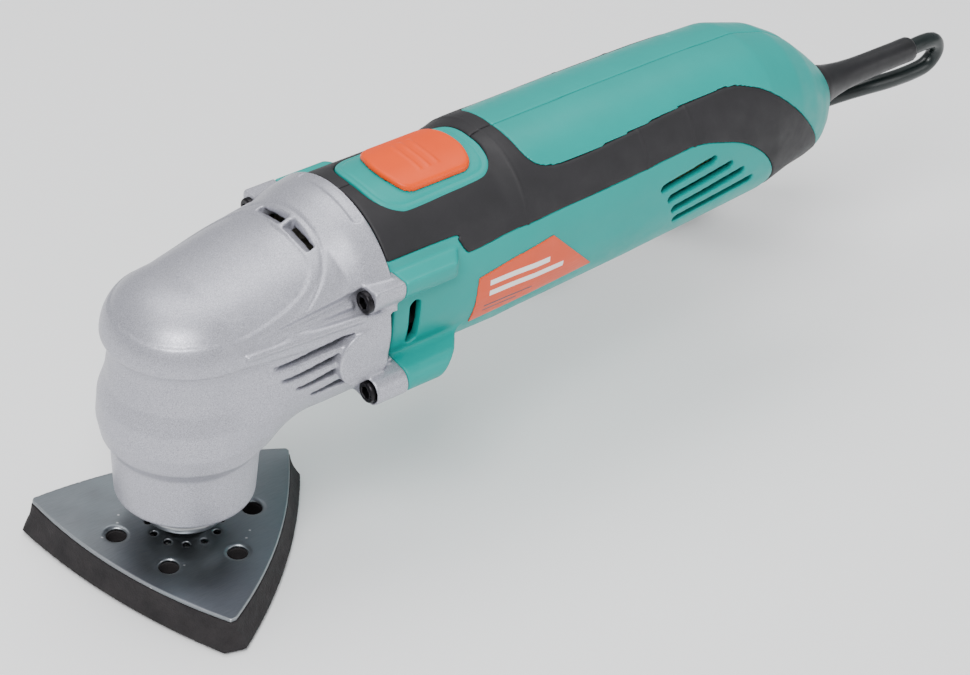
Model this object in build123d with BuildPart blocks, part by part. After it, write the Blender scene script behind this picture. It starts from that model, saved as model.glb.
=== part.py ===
from build123d import *

import os
from math import cos, pi, radians, sin, tan

# Oscillating multi tool with a delta sanding pad, in millimetres.
# The origin is on the spindle axis at the sanding face. +Z runs up the spindle and +X runs
# along the motor towards the cord.

os.makedirs("parts", exist_ok=True)

# ---- driving dimensions ----
# Delta pad
PAD_TURN = 12.9  # the pad is clamped a little off the tool's centre line
PAD_CORNER = 50.0  # centre to corner of the plate
FOAM_CORNER = 58.0  # centre to corner of the foam's lower face, before it is cut short
PAD_BULGE = 5.4  # how far each side bows out
HOOK_T = 1.2
PLATE_TOP = 12.0
PLATE_T = 1.5
DUST_HOLE_R = 3.25
DUST_CIRCLE_R = 22.4
PIN_HOLE_R = 1.25
PIN_CIRCLE_R = 11.5
HAT_TOP = 17.0  # the plate's raised middle
HAT_R = 8.8
CENTRE_HOLE_R = 11.0  # through foam and hook sheet, for the clamp screw

# Spindle
COLLAR_R = 13.2
COLLAR_TOP = 24.0
SPINDLE_R = 6.0
SPINDLE_TOP = 95.0
SCREW_R = 3.0
LOWER_BEARING_Z = 33.0
LOWER_BEARING_R = 14.0
UPPER_BEARING_Z = 88.5
UPPER_BEARING_R = 9.5
UPPER_BEARING_H = 6.0
UPPER_SPINDLE_R = 3.5
RUN = 0.05  # running clearance

# Head: stations, half widths and tops of the cap, which overhangs the neck at its lip
CAP_LIP = 86.0
CAP_STATIONS = [(0.0, 27.0, 105.0), (13.0, 28.6, 107.2), (30.0, 30.4, 110.2), (40.0, 31.2, 112.4)]
CAP_ROUND = 0.82

# Motor
MOTOR_Z = 85.0
SHAFT_R = 4.0
CRANK_OFFSET = 0.8
CRANK_R = 3.0
CRANK_X = 25.0
CRANK_BEARING_R = 8.0
CRANK_BEARING_W = 8.0
FORK_GAP = CRANK_BEARING_R + 1.9  # room for the crank's throw and the pad's swing
FRONT_BEARING_X = 42.0
FRONT_BEARING_R = 11.0
FRONT_BEARING_W = 7.0
REAR_BEARING_X = 172.0
REAR_BEARING_R = 9.5
REAR_BEARING_W = 6.0
REAR_SHAFT_R = 3.5
CORE_X = 92.0
CORE_END = 130.0
CORE_R = 15.5
STATOR_R = 25.0
POLE_R = 16.0
BRUSH_X = 155.0
COMMUTATOR_R = 10.0

# Housing
GRIP_T = 1.2
SHELL_T = 2.0
WALL = GRIP_T + SHELL_T
HOUSING_X = 56.0
TAIL_X = 263.0
RIM_X = 55.0
HEAD_RIM_R = 34.4
HEAD_RIM_Z = 84.8
# Cross-sections of the housing: station, half width, half height, height of the centre
STATIONS = [
    (56.0, 30.2, 31.4, 85.6),
    (60.0, 30.2, 31.4, 85.6),
    (104.0, 30.2, 31.4, 85.6),
    (112.0, 30.6, 32.0, 87.0),
    (157.0, 29.9, 31.4, 88.3),
    (192.0, 29.0, 30.4, 89.4),
    (219.0, 27.9, 29.3, 89.8),
    (234.0, 24.4, 25.8, 89.0),
    (244.0, 21.4, 22.8, 86.2),
    (252.0, 18.0, 19.0, 83.0),
    (258.5, 13.4, 14.2, 81.6),
    (TAIL_X, 9.0, 9.6, 81.0),
]
ROUNDNESS = 0.93  # corner radius over half width

# Flange screws: side offset and height of each pair
LUG_SPOTS = [(30.2, 97.0), (33.6, 65.2)]
LUG_R = 4.8
LUG_FRONT = 47.0
LUG_REAR = 57.0
SCREW_HEAD_R = 3.6
SCREW_HEAD_H = 3.6
SHROUD_REAR = 77.0
FLANGE_SCREW_R = 2.0
FLANGE_SCREW_END = 74.0

# Switch
SLIDER_X0 = 69.8
SLIDER_X1 = 101.6
SLIDER_HALF = 12.4
SLIDER_BOW = 4.6
ISLAND_X0 = 61.2
ISLAND_X1 = 107.2
ISLAND_HALF = 17.0
ISLAND_RISE = 0.5
ROD_Z = 111.2
ROD_T = 1.6

# Housing screws, driven in from the +Y side: places along the housing and up it
SCREW_SPOTS = [(144.0, 65.0), (144.0, 106.5), (187.0, 68.0), (181.0, 106.5), (225.0, 73.0)]
SCREW_POST_R = 3.6
SCREW_SEAT_Y = 16.0
HOUSING_SCREW_R = 1.5
HOUSING_HEAD_R = 2.9
CLAMP_X = 237.0
CLAMP_TOP = 79.5

# Cord
CORD_R = 3.0
GUARD_Z = 82.5
GUARD_X = TAIL_X - 3.0
GUARD_END = 311.0
GUARD_R = 4.6
GUARD_BASE_R = 8.0
HANK_CENTRE = (225.0, 80.0)
HANK_LENGTH = 126.0
HANK_WIDTH = 58.0
HANK_H = 18.0
PLUG_X = 150.0
PLUG_Y = 66.0
PLUG_R = 18.5


def write(part, name):
    """Labels a finished piece and writes its file."""
    part.label = name
    export_step(part, f"parts/{name}.step")


def body_solid(inset, first=0, last=len(STATIONS)):
    """The housing's outer form, shrunk all round by inset."""
    with BuildPart() as form:
        for x, half_width, half_height, centre in STATIONS[first:last]:
            wide = half_width - inset
            high = half_height - inset
            corner = half_width * ROUNDNESS - inset
            with BuildSketch(Plane.YZ.offset(x)):
                with Locations((0, centre)):
                    RectangleRounded(2 * wide, 2 * high, min(corner, 0.98 * wide))
        loft(ruled=True)
    return form.part


def ring(x0, x1, outer, inner, height=MOTOR_Z):
    """A ring about an axis along X."""
    with BuildPart() as made:
        with BuildSketch(Plane.YZ.offset(x0)):
            with Locations((0, height)):
                Circle(outer)
                if inner:
                    Circle(inner, mode=Mode.SUBTRACT)
        extrude(amount=x1 - x0)
    return made.part


def sector(x0, x1, outer, inner, half_angle):
    """A piece of a ring about the motor axis, centred on the +Y side."""
    reach = 1.5 * outer
    with BuildPart() as made:
        with BuildSketch(Plane.YZ.offset(x0)):
            with Locations((0, MOTOR_Z)):
                Circle(outer)
                Circle(inner, mode=Mode.SUBTRACT)
            with BuildLine():
                a = radians(half_angle)
                Polyline(
                    (0, MOTOR_Z),
                    (reach * cos(a), MOTOR_Z - reach * sin(a)),
                    (1.5 * reach, MOTOR_Z - reach * sin(a)),
                    (1.5 * reach, MOTOR_Z + reach * sin(a)),
                    (reach * cos(a), MOTOR_Z + reach * sin(a)),
                    close=True,
                )
            make_face(mode=Mode.INTERSECT)
        extrude(amount=x1 - x0)
    return made.part


def post(z0, z1, outer, inner=0.0):
    """A round piece on the spindle axis."""
    with BuildPart() as made:
        with BuildSketch(Plane.XY.offset(z0)):
            Circle(outer)
            if inner:
                Circle(inner, mode=Mode.SUBTRACT)
        extrude(amount=z1 - z0)
    return made.part


# ---- delta pad ----
def pad_face(corner, cut):
    """Outline of the pad: three bowed sides between corners cut short to cut across."""
    half = radians(60.0)
    with BuildSketch() as shape:
        with BuildLine():
            for k in range(3):
                a = radians(PAD_TURN + 120.0 * k)
                b = a + 2 * half
                back = cut / 2 * tan(radians(30.0))
                radius = corner - 2 * back
                start = (
                    radius * cos(a) - cut / 2 * sin(a),
                    radius * sin(a) + cut / 2 * cos(a),
                )
                end = (
                    radius * cos(b) + cut / 2 * sin(b),
                    radius * sin(b) - cut / 2 * cos(b),
                )
                SagittaArc(start, end, -PAD_BULGE)
                turn = (
                    radius * cos(b) - cut / 2 * sin(b),
                    radius * sin(b) + cut / 2 * cos(b),
                )
                Line(end, turn)
        make_face()
    return shape.sketch


with BuildPart() as hook_sheet:
    with BuildSketch():
        add(pad_face(FOAM_CORNER, 9.0))
        Circle(CENTRE_HOLE_R, mode=Mode.SUBTRACT)
        with PolarLocations(DUST_CIRCLE_R, 6, PAD_TURN + 30):
            Circle(DUST_HOLE_R, mode=Mode.SUBTRACT)
    extrude(amount=HOOK_T)
write(hook_sheet.part, "hook_sheet")

with BuildPart() as foam_pad:
    with BuildSketch(Plane.XY.offset(HOOK_T)):
        add(pad_face(FOAM_CORNER - 0.4, 9.0))
    with BuildSketch(Plane.XY.offset(PLATE_TOP - PLATE_T)):
        add(pad_face(PAD_CORNER + 0.4, 1.6))
    loft(ruled=True)
    with BuildSketch(Plane.XY):
        Circle(CENTRE_HOLE_R)
        with PolarLocations(DUST_CIRCLE_R, 6, PAD_TURN + 30):
            Circle(DUST_HOLE_R)
    extrude(amount=2 * PLATE_TOP, mode=Mode.SUBTRACT)
write(foam_pad.part, "foam_pad")

with BuildPart() as pad_plate:
    with BuildSketch(Plane.XY.offset(PLATE_TOP - PLATE_T)):
        add(pad_face(PAD_CORNER, 1.2))
        with PolarLocations(DUST_CIRCLE_R, 6, PAD_TURN + 30):
            Circle(DUST_HOLE_R, mode=Mode.SUBTRACT)
        with PolarLocations(PIN_CIRCLE_R, 12, PAD_TURN + 15):
            Circle(PIN_HOLE_R, mode=Mode.SUBTRACT)
    extrude(amount=PLATE_T)
    with BuildSketch(Plane.XY.offset(PLATE_TOP - PLATE_T)):
        Circle(HAT_R)
    extrude(amount=HAT_TOP - PLATE_TOP + PLATE_T)
    with BuildSketch(Plane.XY.offset(PLATE_TOP - PLATE_T)):
        Circle(HAT_R - PLATE_T)
    extrude(amount=HAT_TOP - PLATE_TOP, mode=Mode.SUBTRACT)
    with BuildSketch(Plane.XY):
        Circle(SCREW_R + 0.3)
    extrude(amount=2 * HAT_TOP, mode=Mode.SUBTRACT)
write(pad_plate.part, "pad_plate")

# ---- spindle and what swings with it ----
HAT_FLOOR = HAT_TOP - PLATE_T
WASHER_T = 1.4
write(post(HAT_FLOOR - WASHER_T, HAT_FLOOR, 6.8, SCREW_R + 0.3), "clamp_washer")

with BuildPart() as clamp_screw:
    add(post(HAT_FLOOR - WASHER_T, 36.0, SCREW_R))
    add(post(HAT_FLOOR - WASHER_T - 4.0, HAT_FLOOR - WASHER_T, 5.5))
    with BuildSketch(Plane.XY.offset(HAT_FLOOR - WASHER_T - 4.0)):
        RegularPolygon(2.9, 6)
    extrude(amount=2.8, mode=Mode.SUBTRACT)
write(clamp_screw.part, "clamp_screw")

write(post(HAT_TOP, COLLAR_TOP, COLLAR_R, SPINDLE_R), "tool_collar")

with BuildPart() as spindle:
    add(post(HAT_TOP, UPPER_BEARING_Z, SPINDLE_R))
    add(post(UPPER_BEARING_Z, SPINDLE_TOP, UPPER_SPINDLE_R))
    add(post(COLLAR_TOP, LOWER_BEARING_Z, 8.2))
    add(post(HAT_TOP, 36.0, SCREW_R), mode=Mode.SUBTRACT)
write(spindle.part, "spindle")

with BuildPart() as swing_fork:
    add(post(64.0, 80.0, 9.4))
    prong_t = 4.0
    outer = FORK_GAP + prong_t
    with BuildSketch(Plane.XY.offset(64.0)):
        with Locations((8, 0)):
            Rectangle(22, 2 * outer)
    extrude(amount=10.0)
    for side in (-1, 1):
        with BuildSketch(Plane.XZ.offset(-side * outer)):
            with BuildLine():
                Polyline(
                    (14, 64), (21, 64), (35, 77), (35, 92), (24, 92), (14, 74), close=True
                )
            make_face()
        extrude(amount=side * prong_t)
    add(post(60.0, 84.0, SPINDLE_R), mode=Mode.SUBTRACT)
write(swing_fork.part, "swing_fork")

LOWER_TOP = LOWER_BEARING_Z + 8.0
UPPER_TOP = UPPER_BEARING_Z + UPPER_BEARING_H
write(post(LOWER_BEARING_Z, LOWER_TOP, 8.4, SPINDLE_R), "lower_inner_ring")
write(post(UPPER_BEARING_Z, UPPER_TOP, 5.4, UPPER_SPINDLE_R), "upper_inner_ring")
write(post(LOWER_BEARING_Z, LOWER_TOP, LOWER_BEARING_R, 11.6), "lower_outer_ring")
write(post(UPPER_BEARING_Z, UPPER_TOP, UPPER_BEARING_R, 7.7), "upper_outer_ring")

with BuildPart() as spindle_bearing_balls:
    with Locations((0, 0, LOWER_BEARING_Z + 4.0)):
        with PolarLocations(10.0, 9):
            Sphere(1.55)
    with Locations((0, 0, UPPER_BEARING_Z + 3.0)):
        with PolarLocations(6.55, 8):
            Sphere(1.1)
write(spindle_bearing_balls.part, "spindle_bearing_balls")

with BuildPart() as retaining_ring:
    add(post(LOWER_BEARING_Z - 1.4, LOWER_BEARING_Z - 0.2, 14.6, 12.4))
    with BuildSketch(Plane.XY.offset(LOWER_BEARING_Z - 2)):
        with Locations((-13, 0)):
            Rectangle(6, 7)
    extrude(amount=3, mode=Mode.SUBTRACT)
write(retaining_ring.part, "retaining_ring")
write(post(26.4, LOWER_BEARING_Z - 1.6, 15.0, 8.6), "dust_seal")

# ---- head casting ----
with BuildPart() as gear_head:
    # neck, bulb and dome about the spindle
    with BuildSketch(Plane.XZ):
        with BuildLine():
            Polyline(
                (0, 26), (20.2, 26), (21.3, 27.2), (22.2, 44), (22.8, 47), (26.4, 51),
                (27.6, 57), (27.2, 65), (25.2, 73), (25.8, 82), (27.0, 85), (26.6, 90),
                (24.4, 94), (21.4, 98), (17.0, 101.6), (10.0, 104.2), (0, 105.2), close=True,
            )  # fmt: skip
        make_face()
    revolve(axis=Axis.Z)
    # cap that runs from the dome back over the barrel
    for x, half_width, top in CAP_STATIONS:
        with BuildSketch(Plane.YZ.offset(x)):
            with Locations((0, CAP_LIP)):
                RectangleRounded(2 * half_width, 2 * (top - CAP_LIP), CAP_ROUND * (top - CAP_LIP))
    loft(ruled=True)
    # barrel towards the motor
    for x, radius, centre in [(0, 24.0, 76.4), (18, 28.8, 78.4), (38, 32.2, 82.2)]:
        with BuildSketch(Plane.YZ.offset(x)):
            with Locations((0, centre)):
                Circle(radius)
    with BuildSketch(Plane.YZ.offset(RIM_X)):
        with Locations((0, HEAD_RIM_Z)):
            Circle(HEAD_RIM_R)
    loft(ruled=True)
    # lugs
    with BuildSketch(Plane.YZ.offset(LUG_FRONT)):
        for side in (-1, 1):
            for offset_y, height in LUG_SPOTS:
                with Locations((side * offset_y, height)):
                    Circle(LUG_R)
    extrude(amount=LUG_REAR - LUG_FRONT)
    # flat round bosses on both sides
    with BuildSketch(Plane.XZ.offset(-32.4)):
        with Locations((44.2, 77.5)):
            Circle(10.0)
    extrude(amount=64.8)
    # hollow: barrel, fork chamber, bearing seats and mouth
    for x, radius, centre in [(14, 21.0, 79.6), (38, 27.6, 82.8), (RIM_X, 31.0, HEAD_RIM_Z)]:
        with BuildSketch(Plane.YZ.offset(x)):
            with Locations((0, centre)):
                Circle(radius)
    loft(ruled=True, mode=Mode.SUBTRACT)
    add(ring(48.6, 60.0, 31.6, 0, HEAD_RIM_Z), mode=Mode.SUBTRACT)
    add(post(56.0, 86.0, 20.6), mode=Mode.SUBTRACT)
    add(post(40.0, 58.0, 12.4), mode=Mode.SUBTRACT)
    add(post(20.0, LOWER_TOP, LOWER_BEARING_R), mode=Mode.SUBTRACT)
    add(post(20.0, LOWER_BEARING_Z - 1.6, 15.0), mode=Mode.SUBTRACT)
    add(post(LOWER_BEARING_Z - 1.4, LOWER_BEARING_Z - 0.2, 14.6), mode=Mode.SUBTRACT)
    add(post(82.0, UPPER_TOP, UPPER_BEARING_R), mode=Mode.SUBTRACT)
    add(post(82.0, 97.0, 6.0), mode=Mode.SUBTRACT)
    # screw holes through the lugs
    with BuildSketch(Plane.YZ.offset(LUG_FRONT - 9)):
        for side in (-1, 1):
            for offset_y, height in LUG_SPOTS:
                with Locations((side * offset_y, height)):
                    Circle(SCREW_HEAD_R + 0.4)
    extrude(amount=9, mode=Mode.SUBTRACT)
    with BuildSketch(Plane.YZ.offset(LUG_FRONT - 1)):
        for side in (-1, 1):
            for offset_y, height in LUG_SPOTS:
                with Locations((side * offset_y, height)):
                    Circle(FLANGE_SCREW_R)
    extrude(amount=LUG_REAR, mode=Mode.SUBTRACT)
    # the sides open between the lugs, behind the round bosses
    with BuildSketch(Plane.XZ.offset(-40)):
        with Locations((55, 82)):
            Rectangle(7, 17)
    extrude(amount=80, mode=Mode.SUBTRACT)
    # cooling slots in both sides
    with BuildSketch(Plane.XZ.offset(-40)):
        for k in range(5):
            with Locations((27.0 + k, 79.0 - 3.6 * k)):
                Rectangle(14.0 - k, 1.3)
    extrude(amount=80, mode=Mode.SUBTRACT)
    # two windows in the top
    with BuildSketch(Plane.XY.offset(104)):
        for side in (-1, 1):
            with Locations((37.4, side * 6.9)):
                Rectangle(3.4, 11.6)
    extrude(amount=16, mode=Mode.SUBTRACT)
write(gear_head.part, "gear_head")

with BuildPart() as flange_screws:
    for side in (-1, 1):
        for offset_y, height in LUG_SPOTS:
            with BuildSketch(Plane.YZ.offset(LUG_FRONT)):
                with Locations((side * offset_y, height)):
                    Circle(FLANGE_SCREW_R)
            extrude(amount=FLANGE_SCREW_END - LUG_FRONT)
            with BuildSketch(Plane.YZ.offset(LUG_FRONT - SCREW_HEAD_H)):
                with Locations((side * offset_y, height)):
                    Circle(SCREW_HEAD_R)
            extrude(amount=SCREW_HEAD_H)
            with BuildSketch(Plane.YZ.offset(LUG_FRONT - SCREW_HEAD_H)):
                with Locations((side * offset_y, height)):
                    RegularPolygon(2.1, 6)
            extrude(amount=2.2, mode=Mode.SUBTRACT)
write(flange_screws.part, "flange_screws")

# ---- rotating armature ----
with BuildPart() as motor_shaft:
    with BuildSketch(Plane.YZ.offset(CRANK_X - 1.0)):
        with Locations((0, MOTOR_Z + CRANK_OFFSET)):
            Circle(CRANK_R)
    extrude(amount=12.0)
    add(ring(CRANK_X + CRANK_BEARING_W + 1.0, FRONT_BEARING_X, 5.2, 0))
    add(ring(FRONT_BEARING_X, REAR_BEARING_X, SHAFT_R, 0))
    add(ring(REAR_BEARING_X, REAR_BEARING_X + REAR_BEARING_W, REAR_SHAFT_R, 0))
write(motor_shaft.part, "motor_shaft")
write(
    ring(
        CRANK_X, CRANK_X + CRANK_BEARING_W, CRANK_BEARING_R, CRANK_R, MOTOR_Z + CRANK_OFFSET
    ),
    "eccentric_bearing",
)

with BuildPart() as armature_core:
    add(ring(CORE_X, CORE_END, CORE_R, SHAFT_R))
    with BuildSketch(Plane.YZ.offset(CORE_X)):
        with Locations((0, MOTOR_Z)):
            with PolarLocations(CORE_R - 2.2, 12):
                Rectangle(5.6, 1.8)
    extrude(amount=CORE_END - CORE_X, mode=Mode.SUBTRACT)
write(armature_core.part, "armature_core")

with BuildPart() as armature_windings:
    add(ring(CORE_X - 8.0, CORE_X - 0.2, 14.4, SHAFT_R))
    add(ring(CORE_END + 0.2, CORE_END + 10.0, 14.4, SHAFT_R))
    fillet(
        armature_windings.edges()
        .filter_by(GeomType.CIRCLE)
        .filter_by(lambda e: e.radius > 14),
        2.0,
    )
write(armature_windings.part, "armature_windings")

with BuildPart() as commutator:
    add(ring(BRUSH_X - 8.0, BRUSH_X + 8.0, COMMUTATOR_R, SHAFT_R))
    with BuildSketch(Plane.YZ.offset(BRUSH_X - 8.0)):
        with Locations((0, MOTOR_Z)):
            with PolarLocations(COMMUTATOR_R, 12, 15):
                Rectangle(2.4, 0.6)
    extrude(amount=16, mode=Mode.SUBTRACT)
write(commutator.part, "commutator")

with BuildPart() as cooling_fan:
    add(ring(62.0, 76.0, 7.5, SHAFT_R))
    add(ring(74.0, 76.0, 24.0, SHAFT_R))
    with BuildSketch(Plane.YZ.offset(63.0)):
        with Locations((0, MOTOR_Z)):
            with PolarLocations(15.2, 10):
                Rectangle(17.0, 1.4)
    extrude(amount=11.5)
write(cooling_fan.part, "cooling_fan")
FRONT_END = FRONT_BEARING_X + FRONT_BEARING_W
REAR_END = REAR_BEARING_X + REAR_BEARING_W
write(ring(FRONT_BEARING_X, FRONT_END, 6.4, SHAFT_R), "front_inner_ring")
write(ring(REAR_BEARING_X, REAR_END, 5.4, REAR_SHAFT_R), "rear_inner_ring")

# ---- fixed motor parts ----
write(ring(FRONT_BEARING_X, FRONT_END, FRONT_BEARING_R, 9.2), "front_outer_ring")
write(ring(REAR_BEARING_X, REAR_END, REAR_BEARING_R, 7.7), "rear_outer_ring")

with BuildPart() as motor_bearing_balls:
    with Locations(Location((FRONT_BEARING_X + 3.5, 0, MOTOR_Z), (0, 90, 0))):
        with PolarLocations(7.8, 8):
            Sphere(1.35)
    with Locations(Location((REAR_BEARING_X + 3.0, 0, MOTOR_Z), (0, 90, 0))):
        with PolarLocations(6.55, 8):
            Sphere(1.1)
write(motor_bearing_balls.part, "motor_bearing_balls")

with BuildPart() as bearing_plate:
    add(ring(FRONT_END, 53.0, 31.3, 6.6))
    add(ring(FRONT_BEARING_X - 1.0, FRONT_END, 14.0, FRONT_BEARING_R))
    with BuildSketch(Plane.YZ.offset(FRONT_END - 1)):
        with Locations((0, MOTOR_Z)):
            with PolarLocations(21.5, 6, 30):
                Circle(4.2)
    extrude(amount=10, mode=Mode.SUBTRACT)
    with BuildSketch(Plane.YZ.offset(FRONT_END - 1)):
        for side in (-1, 1):
            for offset_y, height in LUG_SPOTS:
                with Locations((side * offset_y, height)):
                    Circle(FLANGE_SCREW_R + 0.3)
    extrude(amount=10, mode=Mode.SUBTRACT)
write(bearing_plate.part, "bearing_plate")

with BuildPart() as rear_bearing_cup:
    add(ring(REAR_BEARING_X - 0.6, REAR_END + 2.0, 12.0, REAR_BEARING_R))
    add(ring(REAR_END + 0.6, REAR_END + 2.0, 12.0, 0))
write(rear_bearing_cup.part, "rear_bearing_cup")

with BuildPart() as stator_core:
    add(ring(CORE_X, CORE_END, STATOR_R, 21.2))
    for turn in (0, 180):
        pole = sector(CORE_X, CORE_END, 21.6, POLE_R, 50.0)
        add(pole.rotate(Axis((0, 0, MOTOR_Z), (1, 0, 0)), turn))
write(stator_core.part, "stator_core")

with BuildPart() as field_coils:
    for turn in (0, 180):
        coil = sector(CORE_X - 8.0, CORE_END + 8.0, 21.0, POLE_R + 0.6, 74.0)
        opening = sector(CORE_X - 0.4, CORE_END + 0.4, 30.0, 10.0, 51.5)
        frame = coil - opening
        add(frame.rotate(Axis((0, 0, MOTOR_Z), (1, 0, 0)), turn))
write(field_coils.part, "field_coils")

with BuildPart() as brush_holders:
    for side in (-1, 1):
        with BuildSketch(Plane.XZ.offset(-side * 11.0)):
            with Locations((BRUSH_X, MOTOR_Z)):
                Rectangle(11.0, 8.6)
                Rectangle(8.2, 5.8, mode=Mode.SUBTRACT)
        extrude(amount=-side * 14.0)
write(brush_holders.part, "brush_holders")

with BuildPart() as carbon_brushes:
    for side in (-1, 1):
        with BuildSketch(Plane.XZ.offset(-side * (COMMUTATOR_R + RUN))):
            with Locations((BRUSH_X, MOTOR_Z)):
                Rectangle(8.0, 5.6)
        extrude(amount=-side * 9.0)
write(carbon_brushes.part, "carbon_brushes")

with BuildPart() as brush_springs:
    for side in (-1, 1):
        for turn in range(5):
            with Locations((BRUSH_X, side * (19.6 + 1.1 * turn), MOTOR_Z)):
                Cylinder(2.4 - 0.3 * (turn % 2), 1.1, rotation=(90, 0, 0))
write(brush_springs.part, "brush_springs")

write(ring(78.5, 80.5, 25.6, 17.0), "fan_baffle")

# ---- housing ----
# Side outline of the soft grip: a front sleeve round the switch, a narrow band along the side
# and a wide end under the tail.
GRIP_FRONT = [(50, 104.5), (82, 104.2), (85, 98.6)]
GRIP_LOWER = [(119, 100.4), (150, 101.3), (178, 102.6), (190, 100.8), (202, 96.9)]
GRIP_SWEEP = [(211, 90.5), (217.5, 83), (222, 72), (226, 50)]
GRIP_TAIL = [(262, 50), (249, 70), (240, 85), (228, 99), (217, 108), (208, 113), (200, 114.8)]
GRIP_UPPER = [(180, 114.4), (157, 113.3), (140, 112.2), (128, 112.1), (122, 112.8)]
GRIP_BACK = [(117.4, 115), (116.5, 118.5), (116, 124)]


def grip_outline():
    with BuildSketch(Plane.XZ) as outline:
        with BuildLine():
            points = GRIP_FRONT + GRIP_LOWER + GRIP_SWEEP
            points += GRIP_TAIL + GRIP_UPPER + GRIP_BACK
            Polyline(*points, (50, 124), close=True)
        make_face()
    return outline.sketch


def island_outline(grow):
    """Plan of the switch surround."""
    x0 = ISLAND_X0 - grow
    x1 = ISLAND_X1 + grow
    half = ISLAND_HALF + grow
    with BuildSketch(Plane.XY.offset(100)) as outline:
        with BuildLine():
            ThreePointArc((x0 + 4, half - 5), (x0, 0), (x0 + 4, -half + 5))
            ThreePointArc((x0 + 4, -half + 5), (x0 + 12, -half), (x0 + 22, -half + 0.6))
            Line((x0 + 22, -half + 0.6), (x1 - 12, -half + 3))
            ThreePointArc((x1 - 12, -half + 3), (x1, 0), (x1 - 12, half - 3))
            Line((x1 - 12, half - 3), (x0 + 22, half - 0.6))
            ThreePointArc((x0 + 22, half - 0.6), (x0 + 12, half), (x0 + 4, half - 5))
        make_face()
    return outline.sketch


with BuildPart() as grip_skin:
    add(body_solid(0))
    add(body_solid(GRIP_T), mode=Mode.SUBTRACT)
    with BuildSketch(Plane.XZ.offset(-60)):
        add(grip_outline())
    extrude(amount=120, mode=Mode.INTERSECT)
    with BuildSketch(Plane.XY.offset(100)):
        add(island_outline(0))
    extrude(amount=40, mode=Mode.SUBTRACT)
    # wells down to the housing screws
    with BuildSketch(Plane.XZ.offset(-SCREW_SEAT_Y)):
        with Locations(*SCREW_SPOTS):
            Circle(HOUSING_HEAD_R + 0.3)
    extrude(amount=-30, mode=Mode.SUBTRACT)

with BuildPart() as window_cut:
    with BuildSketch(Plane.XY.offset(109)):
        with Locations((81.0, 0)):
            Rectangle(21.0, 9.6)
    extrude(amount=12)

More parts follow.
